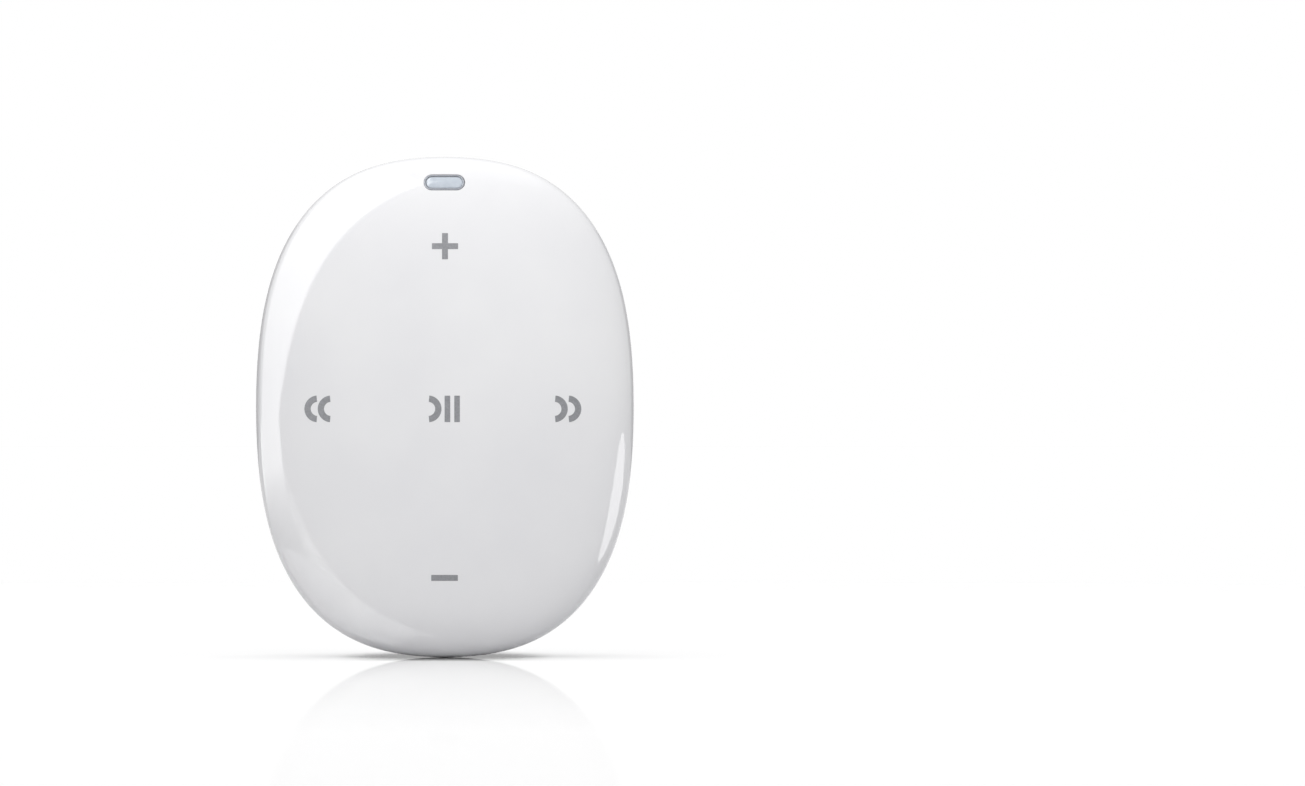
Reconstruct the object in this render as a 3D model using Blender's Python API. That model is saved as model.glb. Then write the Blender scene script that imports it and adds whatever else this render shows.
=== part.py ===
"""A clip-on digital audio player with a floating front cover, three slide switches and a sprung clip.

It stands upright: +X is to the right seen from the front, -Y is the front and +Z is up. The origin is the
middle of the flat on the back cover, where the edge of a pocket or a belt lies when the clip holds it.
"""

import math

import bmesh
import bpy
from mathutils import Matrix, Vector

MM = 0.001

# Clearances
SEAT_GAP = 0.1 * MM
FIT_GAP = 0.3 * MM
SLIDE_GAP = 0.15 * MM
PIN_GAP = 0.05 * MM
JOIN_DEPTH = 0.3 * MM
CUT_PAST = 1.2 * MM

# Body outline, a superellipse, and the two covers
BODY_WIDTH = 42.0 * MM
BODY_HEIGHT = 55.6 * MM
BODY_POWER = 2.5
FRONT_POWER = 3.0
BACK_POWER = 3.6
BACK_FLAT_WIDTH = 8.2 * MM
BACK_STEP = 0.45 * MM
SEAM_GAP = 0.5 * MM
WALL = 1.2 * MM

# Middle frame, board and what the board carries
FRAME_WALL = 0.9 * MM
FRAME_INTO_BACK = 1.5 * MM
FRAME_INTO_FRONT = 0.65 * MM
BOARD_THICKNESS = 0.8 * MM
BOARD_SINK = 0.2 * MM
CHIP_HEIGHT = 0.9 * MM
CHIP_HEADROOM = 0.2 * MM
PROCESSOR_SIDE = 8.0 * MM
MEMORY_WIDTH = 8.0 * MM
MEMORY_HEIGHT = 11.0 * MM
AMPLIFIER_SIDE = 3.5 * MM
BATTERY_THICKNESS = 3.4 * MM
BATTERY_SIDE_ROOM = 8.8 * MM
BATTERY_FOOT_ROOM = 8.0 * MM
BATTERY_ROOM_BEHIND = 1.0 * MM
BATTERY_ROUND = 0.7 * MM
FOAM_MARGIN = 4.5 * MM
LED_CHIP_WIDTH = 1.6 * MM
LED_CHIP_HEIGHT = 0.8 * MM
LED_CHIP_DEPTH = 0.6 * MM
LED_CHIP_INSET = 1.6 * MM

# Board screws and the bosses that they bite into
SCREW_SIDE_INSET = 5.3 * MM
SCREW_END_INSET = 7.6 * MM
SCREW_RADIUS = 0.55 * MM
SCREW_LENGTH = 3.2 * MM
SCREW_HEAD_RADIUS = 1.15 * MM
SCREW_HEAD_HEIGHT = 0.55 * MM
BOSS_WALL = 0.8 * MM

# Front control: domes, silicone mat, spring plate and the posts of the front cover
KEY_TOP_INSET = 10.0 * MM
KEY_FOOT_INSET = 8.9 * MM
KEY_SIDE_INSET = 7.2 * MM
FILM_SIDE_INSET = 1.3 * MM
FILM_END_INSET = 2.6 * MM
FILM_POWER = 2.0
FILM_THICKNESS = 0.12 * MM
DOME_RADIUS = 2.0 * MM
DOME_RISE = 0.2 * MM
KEY_TRAVEL = 0.2 * MM
KEY_PLAY = 0.1 * MM
NUB_RADIUS = 1.3 * MM
NUB_HEIGHT = 0.5 * MM
MAT_THICKNESS = 0.5 * MM
TILT_GAP = 0.35 * MM
SPRING_PLATE_THICKNESS = 0.25 * MM
SPRING_RIM = 2.6 * MM
SPRING_ARM_HALF_ANGLE = 17.0
SPRING_HUB_RADIUS = 6.0 * MM
SPRING_INSET = 0.8 * MM
POST_RADIUS = 1.5 * MM
POST_LENGTH = 1.03 * MM

# Indicator window at the top of the front
WINDOW_TOP_INSET = 2.9 * MM
BEZEL_WIDTH = 4.5 * MM
BEZEL_HEIGHT = 1.9 * MM
BEZEL_WALL = 0.3 * MM
BEZEL_DEPTH = 0.9 * MM
LENS_DEPTH = 1.9 * MM
LENS_EDGE = 0.3 * MM

# Headphone socket, a little to one side of the middle
JACK_OFFSET = 0.5 * MM
JACK_BORE_RADIUS = 1.8 * MM
JACK_BORE_DEPTH = 14.0 * MM
JACK_WALL = 0.4 * MM
JACK_SIDE_WALL = 1.2 * MM
JACK_LENGTH = 10.0 * MM
JACK_SHOULDER_DROP = 8.0 * MM
NOSE_WALL = 0.35 * MM
NOSE_GAP = 0.2 * MM
OPENING_BRIDGE = 0.4 * MM
COLLAR_WALL = 0.35 * MM
COLLAR_HEIGHT = 1.0 * MM
COLLAR_SINK = 0.1 * MM

# Slide switches on the back cover: their places, slots, knobs and switch bodies
POWER_Z = -0.3 * MM
MODE_Z = 8.9 * MM
HOLD_Z = -8.0 * MM
SWITCH_INSET = 1.45 * MM
POWER_SLOT = 7.8 * MM
SIDE_SLOT = 5.9 * MM
SLOT_WIDTH = 3.4 * MM
SLOT_FLOOR = 1.5 * MM
KNOB_LENGTH = 3.6 * MM
KNOB_GAP = 0.2 * MM
KNOB_PROUD = 0.3 * MM
KNOB_ROUND = 0.7 * MM
KNOB_CROWN = 0.08 * MM
KNOB_CROWN_INSET = 1.15 * MM
SKIRT_THICKNESS = 0.6 * MM
SKIRT_LAP = 0.3 * MM
SWITCH_HEIGHT = 1.8 * MM
SWITCH_WIDTH = 2.3 * MM
SWITCH_END = 1.0 * MM
SWITCH_INWARD = 2.65 * MM
LEVER_TAB_LENGTH = 1.6 * MM
LEVER_TAB_WIDTH = 0.9 * MM
LEVER_TAB_RISE = 0.9 * MM
LEVER_GROOVE_DEPTH = 0.9 * MM
FORK_THICKNESS = 0.6 * MM
FORK_WIDTH = 0.9 * MM

# Reset switch behind its pinhole at the foot
RESET_HOLE_RADIUS = 0.5 * MM
RESET_WIDTH = 3.2 * MM
RESET_DEPTH = 2.2 * MM
RESET_HEIGHT = 2.2 * MM
RESET_FOOT_ROOM = 2.2 * MM
PLUNGER_RADIUS = 0.45 * MM
PLUNGER_LENGTH = 2.4 * MM
PLUNGER_PROUD = 1.5 * MM

# Clip: plate, lever, hinge and spring
CLIP_WIDTH = 26.4 * MM
CLIP_HEIGHT = 51.0 * MM
CLIP_POWER = 3.0
CLIP_RISE = 0.2 * MM
PLATE_THICKNESS = 1.0 * MM
PLATE_CHAMFER = 0.45 * MM
CLIP_LEVER_INSET = 0.4 * MM
CLIP_LEVER_THICKNESS = 0.9 * MM
CLIP_SKIRT_WALL = 0.9 * MM
CLIP_SKIRT_DEPTH = 0.9 * MM
HINGE_RISE = 9.5 * MM
PIN_RADIUS = 0.5 * MM
HINGE_LUG_WALL = 0.6 * MM
HINGE_ROOM = 0.25 * MM
EAR_WIDTH = 1.6 * MM
KNUCKLE_WIDTH = 1.6 * MM
EAR_ROOT = 0.6 * MM
JAW_FOOT_INSET = 4.7 * MM
JAW_WIDTH = 12.0 * MM
JAW_RADIUS = 0.8 * MM
COIL_WIRE = 0.5 * MM
COIL_BORE_GAP = 0.2 * MM
COIL_PITCH = 1.0 * MM
COIL_HALF_TURNS = 7
COIL_LEG = 6.0 * MM
CURL_POINTS = 10

# Facets
BODY_SEGMENTS = 64
CROWN_STEPS = 9
INNER_STEPS = 6
CROWN_LAST_ANGLE = 87.0
ROUND_SEGMENTS = 20
SMALL_SEGMENTS = 14
DIFFERENCE_STEP = 0.01 * MM
WELD_DISTANCE = 0.001 * MM
SHARP_ANGLE = 38.0
DOME_LAST_ANGLE = 65.0
DOME_STEPS = 2
SPRING_WINDOW_STEPS = 6
KNOB_STEPS = 3

# Finishes: colour, roughness and share of metal
SHELL_WHITE = ("EDEDEF", 0.12, 0.0)
KNOB_WHITE = ("E6E6E9", 0.15, 0.0)
CLIP_SILVER = ("D4D5D8", 0.3, 0.0)
LENS_BLUE = ("D4DBE4", 0.1, 0.0)
BEZEL_GREY = ("9B9DA2", 0.4, 0.0)
FRAME_GREY = ("C9C9CC", 0.45, 0.0)
BOARD_GREEN = ("1F5A3C", 0.4, 0.0)
CHIP_BLACK = ("1B1B1D", 0.45, 0.0)
CELL_GREY = ("B4B7BC", 0.35, 0.6)
FOAM_GREY = ("4A4B4E", 0.9, 0.0)
STEEL = ("C8C9CB", 0.25, 1.0)
SOCKET_BLACK = ("141416", 0.35, 0.0)
SILICONE = ("C4C6C9", 0.6, 0.0)
SWITCH_GREY = ("B9BABD", 0.4, 0.0)
LED_WHITE = ("F2F2E6", 0.3, 0.0)

# Sizes that follow from the ones above
HALF_WIDTH = BODY_WIDTH / 2
HALF_HEIGHT = BODY_HEIGHT / 2
BACK_HALF_WIDTH = HALF_WIDTH - BACK_STEP
BACK_HALF_HEIGHT = HALF_HEIGHT - BACK_STEP
BACK_INNER_HALF_WIDTH = BACK_HALF_WIDTH - WALL
BACK_INNER_HALF_HEIGHT = BACK_HALF_HEIGHT - WALL
BACK_FLAT_SHARE = BACK_FLAT_WIDTH / (2 * BACK_HALF_WIDTH)
BATTERY_LIFT = SEAT_GAP + CHIP_HEIGHT + CHIP_HEADROOM
BACK_DEPTH = BOARD_SINK + BATTERY_LIFT + BATTERY_THICKNESS + BATTERY_ROOM_BEHIND + WALL
BACK_RIM_Y = -BACK_DEPTH
FRONT_RIM_Y = BACK_RIM_Y - SEAM_GAP
FRAME_HALF_WIDTH = BACK_INNER_HALF_WIDTH - FIT_GAP
FRAME_HALF_HEIGHT = BACK_INNER_HALF_HEIGHT - FIT_GAP
BOARD_HALF_WIDTH = FRAME_HALF_WIDTH - FRAME_WALL - FIT_GAP
BOARD_HALF_HEIGHT = FRAME_HALF_HEIGHT - FRAME_WALL - FIT_GAP
BOARD_BACK_Y = BACK_RIM_Y + BOARD_SINK
BOARD_FRONT_Y = BOARD_BACK_Y - BOARD_THICKNESS
ON_BOARD_Y = BOARD_BACK_Y + SEAT_GAP
FILM_BACK_Y = BOARD_FRONT_Y - SEAT_GAP
FILM_FRONT_Y = FILM_BACK_Y - FILM_THICKNESS
NUB_TIP_Y = FILM_FRONT_Y - DOME_RISE - KEY_TRAVEL - KEY_PLAY
MAT_BACK_Y = NUB_TIP_Y - NUB_HEIGHT
MAT_FRONT_Y = MAT_BACK_Y - MAT_THICKNESS
SPRING_BACK_Y = MAT_FRONT_Y - TILT_GAP
SPRING_FRONT_Y = SPRING_BACK_Y - SPRING_PLATE_THICKNESS
POST_TIP_Y = SPRING_FRONT_Y - TILT_GAP
TILT_Y = (SPRING_BACK_Y + SPRING_FRONT_Y) / 2
FRONT_DEPTH = FRONT_RIM_Y - POST_TIP_Y + POST_LENGTH + WALL
FILM_HALF_WIDTH = BOARD_HALF_WIDTH - FILM_SIDE_INSET
FILM_HALF_HEIGHT = BOARD_HALF_HEIGHT - FILM_END_INSET
SPRING_HALF_WIDTH = FILM_HALF_WIDTH - SPRING_INSET
SPRING_HALF_HEIGHT = FILM_HALF_HEIGHT - SPRING_INSET
SCREW_X = BOARD_HALF_WIDTH - SCREW_SIDE_INSET
SCREW_Z = BOARD_HALF_HEIGHT - SCREW_END_INSET
SCREW_HOLE_RADIUS = SCREW_RADIUS + SLIDE_GAP
JACK_NOSE_RADIUS = JACK_BORE_RADIUS + NOSE_WALL
OPENING_RADIUS = JACK_NOSE_RADIUS + NOSE_GAP
JACK_Y = BACK_RIM_Y + OPENING_BRIDGE + OPENING_RADIUS
JACK_HALF_WIDTH = JACK_BORE_RADIUS + JACK_SIDE_WALL
JACK_HALF_DEPTH = JACK_BORE_RADIUS + JACK_WALL
JACK_SHOULDER_Z = BACK_HALF_HEIGHT - JACK_SHOULDER_DROP
JACK_FOOT_Z = JACK_SHOULDER_Z - JACK_LENGTH
RESET_Y = ON_BOARD_Y + RESET_DEPTH / 2
RESET_FACE_Z = -BACK_INNER_HALF_HEIGHT + RESET_FOOT_ROOM
KNOB_WIDTH = SLOT_WIDTH - 2 * KNOB_GAP
HINGE_LUG_RADIUS = PIN_RADIUS + PIN_GAP + HINGE_LUG_WALL
HINGE_Y = HINGE_LUG_RADIUS + HINGE_ROOM
CLIP_GAP = 2 * HINGE_Y
COIL_RADIUS = PIN_RADIUS + COIL_BORE_GAP + COIL_WIRE / 2
COIL_HALF_LENGTH = COIL_HALF_TURNS * COIL_PITCH / 4
HINGE_HALF_SPAN = COIL_HALF_LENGTH + COIL_WIRE / 2 + 2 * FIT_GAP + KNUCKLE_WIDTH + EAR_WIDTH
CLIP_HALF_WIDTH = CLIP_WIDTH / 2
CLIP_HALF_HEIGHT = CLIP_HEIGHT / 2
LEVER_OUTER_Y = CLIP_GAP + CLIP_LEVER_THICKNESS
PLATE_INNER_Y = LEVER_OUTER_Y + SEAT_GAP
PLATE_OUTER_Y = PLATE_INNER_Y + PLATE_THICKNESS

# Where the front cover is pressed, behind the five marks on its face: x and z
KEY_PLACES = (
    (0.0, 0.0),
    (0.0, HALF_HEIGHT - KEY_TOP_INSET),
    (0.0, KEY_FOOT_INSET - HALF_HEIGHT),
    (KEY_SIDE_INSET - HALF_WIDTH, 0.0),
    (HALF_WIDTH - KEY_SIDE_INSET, 0.0),
)


# Outlines, rings and shells


def superellipse(half_width, half_height, power, count=BODY_SEGMENTS):
    """Points (u, v) of a superellipse, evenly spread by direction."""
    points = []
    for step in range(count):
        angle = math.tau * step / count
        u, v = math.cos(angle), math.sin(angle)
        reach = (abs(u) ** power + abs(v) ** power) ** (-1 / power)
        points.append((half_width * reach * u, half_height * reach * v))
    return points


def stadium(length, width, count=ROUND_SEGMENTS):
    """Points (u, v) of a slot outline, round at both ends, long along u."""
    radius = width / 2
    straight = length / 2 - radius
    points = []
    for step in range(count):
        angle = math.tau * (step + 0.5) / count
        u, v = radius * math.cos(angle), radius * math.sin(angle)
        points.append((u + math.copysign(straight, u), v))
    return points


def facing_front(points, y):
    """An outline (x, z) set at a depth y of the body."""
    return [Vector((u, y, v)) for u, v in points]


def facing_up(points, z):
    """An outline (x, y) set at a height z of its frame."""
    return [Vector((u, v, z)) for u, v in points]


def circle(centre, radius, axis, count=ROUND_SEGMENTS):
    """A ring of points round a centre, square to the axis X, Y or Z."""
    ring = []
    for step in range(count):
        angle = math.tau * step / count
        u, v = radius * math.cos(angle), radius * math.sin(angle)
        offset = {"X": (0, u, v), "Y": (u, 0, v), "Z": (u, v, 0)}[axis]
        ring.append(Vector(centre) + Vector(offset))
    return ring


def outline_share(x, z, half_width, half_height):
    """How far a point lies from the middle of the body outline, as a share of the way to its edge."""
    return ((abs(x) / half_width) ** BODY_POWER + (abs(z) / half_height) ** BODY_POWER) ** (1 / BODY_POWER)


def crown(share, depth, power, flat_share=0.0):
    """Height of a cover over its rim at that share of the outline."""
    beyond = min(max((share - flat_share) / (1 - flat_share), 0.0), 1.0)
    return depth * (1 - beyond**power) ** (1 / power)


def back_y(x, z):
    """The back cover's outer surface."""
    share = outline_share(x, z, BACK_HALF_WIDTH, BACK_HALF_HEIGHT)
    return BACK_RIM_Y + crown(share, BACK_DEPTH, BACK_POWER, BACK_FLAT_SHARE)


def front_y(x, z):
    """The front cover's outer surface."""
    return FRONT_RIM_Y - crown(outline_share(x, z, HALF_WIDTH, HALF_HEIGHT), FRONT_DEPTH, FRONT_POWER)


def back_end_z(y):
    """How high the back cover's outer surface is above the middle, in the plane x = 0, at a depth y."""
    height = (y - BACK_RIM_Y) / BACK_DEPTH
    beyond = (1 - height**BACK_POWER) ** (1 / BACK_POWER)
    return BACK_HALF_HEIGHT * (BACK_FLAT_SHARE + (1 - BACK_FLAT_SHARE) * beyond)


def front_rings(inset, steps):
    """Rings from the rim of the front cover to its crown, drawn in by the inset."""
    rings = []
    for step in range(steps + 1):
        angle = math.radians(CROWN_LAST_ANGLE * step / steps)
        share = math.cos(angle) ** (2 / FRONT_POWER)
        outline = superellipse((HALF_WIDTH - inset) * share, (HALF_HEIGHT - inset) * share, BODY_POWER)
        rise = (FRONT_DEPTH - inset) * math.sin(angle) ** (2 / FRONT_POWER)
        rings.append(facing_front(outline, FRONT_RIM_Y - rise))
    return rings


def back_rings(inset, steps):
    """Rings from the rim of the back cover to its flat, drawn in by the inset."""
    half_width, half_height = BACK_HALF_WIDTH - inset, BACK_HALF_HEIGHT - inset
    flat_share = BACK_FLAT_WIDTH / (2 * half_width)
    rings = []
    for step in range(steps + 1):
        lift = math.sin(math.pi / 2 * step / steps)
        share = flat_share + (1 - flat_share) * (1 - lift**2) ** (1 / BACK_POWER)
        outline = superellipse(half_width * share, half_height * share, BODY_POWER)
        rings.append(facing_front(outline, BACK_RIM_Y + (BACK_DEPTH - inset) * lift ** (2 / BACK_POWER)))
    return rings


# Meshes, objects and Booleans


def drawn_from(vert, fresh):
    """The fresh point that was drawn out from this one."""
    return next(edge.other_vert(vert) for edge in vert.link_edges if edge.other_vert(vert) in fresh)


def loft(rings, closed=False):
    """A closed body drawn out from ring to ring, with flat ends or, if closed, back to the first ring."""
    bm = bmesh.new()
    verts = [bm.verts.new(point) for point in rings[0]]
    edges = [bm.edges.new((verts[i - 1], verts[i])) for i in range(len(verts))]
    if not closed:
        bmesh.ops.contextual_create(bm, geom=edges)
    for ring in rings[1:] + (rings[:1] if closed else []):
        drawn = bmesh.ops.extrude_edge_only(bm, edges=edges)["geom"]
        fresh = {item for item in drawn if isinstance(item, bmesh.types.BMVert)}
        lines = [item for item in drawn if isinstance(item, bmesh.types.BMEdge)]
        edges = [line for line in lines if fresh.issuperset(line.verts)]
        verts = [drawn_from(vert, fresh) for vert in verts]
        for vert, point in zip(verts, ring):
            vert.co = point
    if closed:
        bmesh.ops.remove_doubles(bm, verts=bm.verts[:], dist=WELD_DISTANCE)
    else:
        bmesh.ops.contextual_create(bm, geom=edges)
    bmesh.ops.recalc_face_normals(bm, faces=bm.faces[:])
    return bm


def box(low, high, bevel=0.0):
    """A box between two corners, with its edges broken by the bevel."""
    low, high = Vector(low), Vector(high)
    bm = bmesh.new()
    bmesh.ops.create_cube(bm, size=1.0)
    bmesh.ops.scale(bm, vec=high - low, verts=bm.verts[:])
    bmesh.ops.translate(bm, vec=(low + high) / 2, verts=bm.verts[:])
    if bevel:
        bmesh.ops.bevel(
            bm, geom=bm.edges[:], offset=bevel, affect="EDGES", segments=1, profile=0.5, material=-1
        )
    return bm


def linear(channel):
    """One sRGB channel as linear light."""
    return channel / 12.92 if channel <= 0.04045 else ((channel + 0.055) / 1.055) ** 2.4


def finish(name, look):
    """The material of one piece, from one of the finishes."""
    colour, roughness, metallic = look
    material = bpy.data.materials.new(name)
    material.use_nodes = True
    shader = material.node_tree.nodes["Principled BSDF"]
    channels = [int(colour[i : i + 2], 16) / 255 for i in (0, 2, 4)]
    shader.inputs["Base Color"].default_value = [linear(channel) for channel in channels] + [1.0]
    shader.inputs["Roughness"].default_value = roughness
    shader.inputs["Metallic"].default_value = metallic
    return material


def add_frame(name, matrix=None):
    """An empty that carries pieces. Below the player's own it holds its place in the world."""
    empty = bpy.data.objects.new(name, None)
    bpy.context.scene.collection.objects.link(empty)
    if matrix is not None:
        empty.matrix_basis = matrix
        empty.parent = PLAYER
    return empty


def add_object(name, bm, frame, from_world):
    """An object under its frame. A mesh drawn in the world is first brought into the frame."""
    if from_world:
        bmesh.ops.transform(bm, matrix=frame.matrix_basis.inverted(), verts=bm.verts[:])
    mesh = bpy.data.meshes.new(name)
    bm.to_mesh(mesh)
    bm.free()
    obj = bpy.data.objects.new(name, mesh)
    obj.parent = frame
    bpy.context.scene.collection.objects.link(obj)
    return obj


def piece(name, bm, frame, look, from_world=True):
    """One sub-part of the player."""
    obj = add_object(name, bm, frame, from_world)
    obj.data.materials.append(finish(name, look))
    obj.data.shade_smooth()
    obj.data.set_sharp_from_angle(angle=math.radians(SHARP_ANGLE))
    return obj


def shape_with(obj, operation, bm, frame, from_world=True):
    """Joins a hidden body to the object, or takes it away from it."""
    tool = add_object(f"{obj.name}_{operation.lower()}_{len(obj.modifiers)}", bm, frame, from_world)
    tool.hide_render = True
    tool.display_type = "WIRE"
    modifier = obj.modifiers.new(tool.name, "BOOLEAN")
    modifier.operation = operation
    modifier.solver = "EXACT"
    modifier.object = tool


def join(obj, bm, frame, from_world=True):
    shape_with(obj, "UNION", bm, frame, from_world)


def cut(obj, bm, frame, from_world=True):
    shape_with(obj, "DIFFERENCE", bm, frame, from_world)


def rod(centre, radius, axis, low, high, count=ROUND_SEGMENTS):
    """A round bar along the axis X, Y or Z, from low to high on it, through the centre."""
    index = "XYZ".index(axis)
    rings = []
    for end in (low, high):
        middle = Vector(centre)
        middle[index] = end
        rings.append(circle(middle, radius, axis, count))
    return loft(rings)


# Covers and frame


def make_front_cover():
    """The floating front shell, with a post behind each mark and the window for the lens."""
    inner = front_rings(WALL, INNER_STEPS)
    outer = front_rings(0.0, CROWN_STEPS)
    cover = piece("front_cover", loft(inner[::-1] + outer), COVER_FRAME, SHELL_WHITE)
    for x, z in KEY_PLACES:
        root_y = front_y(x, z) + WALL / 2
        join(cover, rod((x, 0, z), POST_RADIUS, "Y", root_y, POST_TIP_Y, SMALL_SEGMENTS), COVER_FRAME)
    window = stadium(BEZEL_WIDTH + 2 * SEAT_GAP, BEZEL_HEIGHT + 2 * SEAT_GAP)
    shaft = loft([facing_up(window, -LENS_DEPTH - CUT_PAST), facing_up(window, CUT_PAST)])
    cut(cover, shaft, WINDOW_FRAME, from_world=False)


def make_indicator():
    """The grey bezel in the window and the lens that carries the light out to it."""
    outer = stadium(BEZEL_WIDTH, BEZEL_HEIGHT)
    inner = stadium(BEZEL_WIDTH - 2 * BEZEL_WALL, BEZEL_HEIGHT - 2 * BEZEL_WALL)
    ring = [
        facing_up(inner, -BEZEL_DEPTH),
        facing_up(inner, -SEAT_GAP),
        facing_up(outer, -SEAT_GAP),
        facing_up(outer, -BEZEL_DEPTH),
    ]
    piece("led_bezel", loft(ring, closed=True), WINDOW_FRAME, BEZEL_GREY, from_world=False)
    lens_inset = BEZEL_WALL + SEAT_GAP / 2
    lens = stadium(BEZEL_WIDTH - 2 * lens_inset, BEZEL_HEIGHT - 2 * lens_inset)
    crown_inset = lens_inset + LENS_EDGE
    crowned = stadium(BEZEL_WIDTH - 2 * crown_inset, BEZEL_HEIGHT - 2 * crown_inset)
    body = loft([facing_up(lens, -LENS_DEPTH), facing_up(lens, -SEAT_GAP), facing_up(crowned, 0.0)])
    piece("led_lens", body, WINDOW_FRAME, LENS_BLUE, from_world=False)


def make_back_cover():
    """The back shell with its screw bosses, hinge ears, headphone opening and reset pinhole."""
    inner = back_rings(WALL, INNER_STEPS)
    outer = back_rings(0.0, CROWN_STEPS)
    cover = piece("back_cover", loft(inner[::-1] + outer), PLAYER, SHELL_WHITE)
    for x, z in screw_places():
        boss_radius = SCREW_HOLE_RADIUS + BOSS_WALL
        root_y = back_y(x, z) - WALL / 2
        join(cover, rod((x, 0, z), boss_radius, "Y", ON_BOARD_Y, root_y, SMALL_SEGMENTS), PLAYER)
        pilot_end = BOARD_FRONT_Y + SCREW_LENGTH + FIT_GAP
        cut(cover, rod((x, 0, z), SCREW_HOLE_RADIUS, "Y", BACK_RIM_Y, pilot_end, SMALL_SEGMENTS), PLAYER)
    for side in (-1, 1):
        ear = [
            lug_ring(side * x, -EAR_ROOT, HINGE_LUG_RADIUS, 1)
            for x in (HINGE_HALF_SPAN - EAR_WIDTH, HINGE_HALF_SPAN)
        ]
        join(cover, loft(ear), PLAYER)
    cut(cover, hinge_hole(), PLAYER)
    opening_low = JACK_SHOULDER_Z + FIT_GAP
    opening = rod((JACK_OFFSET, JACK_Y, 0), OPENING_RADIUS, "Z", opening_low, HALF_HEIGHT + CUT_PAST)
    cut(cover, opening, PLAYER)
    pinhole_ends = (-HALF_HEIGHT - CUT_PAST, RESET_FACE_Z - PLUNGER_PROUD)
    cut(cover, rod((0, RESET_Y, 0), RESET_HOLE_RADIUS, "Z", *pinhole_ends, SMALL_SEGMENTS), PLAYER)
    return cover


def make_mid_frame():
    """The ring that joins the covers and shows in the seam between them."""
    outer = superellipse(FRAME_HALF_WIDTH, FRAME_HALF_HEIGHT, BODY_POWER)
    inner = superellipse(FRAME_HALF_WIDTH - FRAME_WALL, FRAME_HALF_HEIGHT - FRAME_WALL, BODY_POWER)
    front = FRONT_RIM_Y - FRAME_INTO_FRONT
    back = BACK_RIM_Y + FRAME_INTO_BACK
    ring = [
        facing_front(inner, front),
        facing_front(inner, back),
        facing_front(outer, back),
        facing_front(outer, front),
    ]
    frame = piece("mid_frame", loft(ring, closed=True), PLAYER, FRAME_GREY)
    nose_room = rod((JACK_OFFSET, JACK_Y, 0), JACK_NOSE_RADIUS + FIT_GAP, "Z", 0, HALF_HEIGHT)
    cut(frame, nose_room, PLAYER)
    plunger_room = rod((0, RESET_Y, 0), PLUNGER_RADIUS + FIT_GAP, "Z", -HALF_HEIGHT, 0, SMALL_SEGMENTS)
    cut(frame, plunger_room, PLAYER)


# Board and what it carries


def screw_places():
    return [(side * SCREW_X, end * SCREW_Z) for side in (-1, 1) for end in (-1, 1)]


def make_board():
    """The board with its screws, chips, battery and the light at its top."""
    outline = superellipse(BOARD_HALF_WIDTH, BOARD_HALF_HEIGHT, BODY_POWER)
    plate = loft([facing_front(outline, BOARD_FRONT_Y), facing_front(outline, BOARD_BACK_Y)])
    board = piece("main_board", plate, PLAYER, BOARD_GREEN)
    for number, (x, z) in enumerate(screw_places(), start=1):
        hole_ends = (BOARD_FRONT_Y - CUT_PAST, BOARD_BACK_Y + CUT_PAST)
        cut(board, rod((x, 0, z), SCREW_HOLE_RADIUS, "Y", *hole_ends, SMALL_SEGMENTS), PLAYER)
        head_back = BOARD_FRONT_Y - SEAT_GAP
        head_front = head_back - SCREW_HEAD_HEIGHT
        profile = (
            (SCREW_RADIUS, BOARD_FRONT_Y + SCREW_LENGTH),
            (SCREW_RADIUS, head_back),
            (SCREW_HEAD_RADIUS, head_back),
            (SCREW_HEAD_RADIUS, (head_back + head_front) / 2),
            (SCREW_RADIUS, head_front),
        )
        screw = loft([circle((x, y, z), radius, "Y", SMALL_SEGMENTS) for radius, y in profile])
        piece(f"board_screw_{number}", screw, PLAYER, STEEL)
    battery_half_width = BACK_INNER_HALF_WIDTH - BATTERY_SIDE_ROOM
    battery_foot = BATTERY_FOOT_ROOM - BACK_INNER_HALF_HEIGHT
    battery_top = JACK_FOOT_Z - FIT_GAP
    battery_front = BOARD_BACK_Y + BATTERY_LIFT
    battery_back = battery_front + BATTERY_THICKNESS
    cell = box(
        (-battery_half_width, battery_front, battery_foot),
        (battery_half_width, battery_back, battery_top),
        BATTERY_ROUND,
    )
    piece("battery", cell, PLAYER, CELL_GREY)
    foam = box(
        (FOAM_MARGIN - battery_half_width, battery_back + SEAT_GAP, battery_foot + FOAM_MARGIN),
        (battery_half_width - FOAM_MARGIN, -WALL - 2 * SEAT_GAP, battery_top - FOAM_MARGIN),
    )
    piece("battery_foam", foam, PLAYER, FOAM_GREY)
    processor_z = battery_top - FIT_GAP - PROCESSOR_SIDE / 2
    memory_z = battery_foot + FIT_GAP + MEMORY_HEIGHT / 2
    amplifier_x = JACK_OFFSET - JACK_HALF_WIDTH - AMPLIFIER_SIDE
    amplifier_z = JACK_SHOULDER_Z - JACK_LENGTH / 2
    chips = (
        ("processor_chip", 0.0, processor_z, PROCESSOR_SIDE, PROCESSOR_SIDE),
        ("memory_chip", 0.0, memory_z, MEMORY_WIDTH, MEMORY_HEIGHT),
        ("amplifier_chip", amplifier_x, amplifier_z, AMPLIFIER_SIDE, AMPLIFIER_SIDE),
    )
    for name, x, z, width, height in chips:
        low = (x - width / 2, ON_BOARD_Y, z - height / 2)
        high = (x + width / 2, ON_BOARD_Y + CHIP_HEIGHT, z + height / 2)
        piece(name, box(low, high), PLAYER, CHIP_BLACK)
    led_z = BOARD_HALF_HEIGHT - LED_CHIP_INSET
    led = box(
        (-LED_CHIP_WIDTH / 2, BOARD_FRONT_Y - SEAT_GAP - LED_CHIP_DEPTH, led_z - LED_CHIP_HEIGHT / 2),
        (LED_CHIP_WIDTH / 2, BOARD_FRONT_Y - SEAT_GAP, led_z + LED_CHIP_HEIGHT / 2),
    )
    piece("led_chip", led, PLAYER, LED_WHITE)


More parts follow.
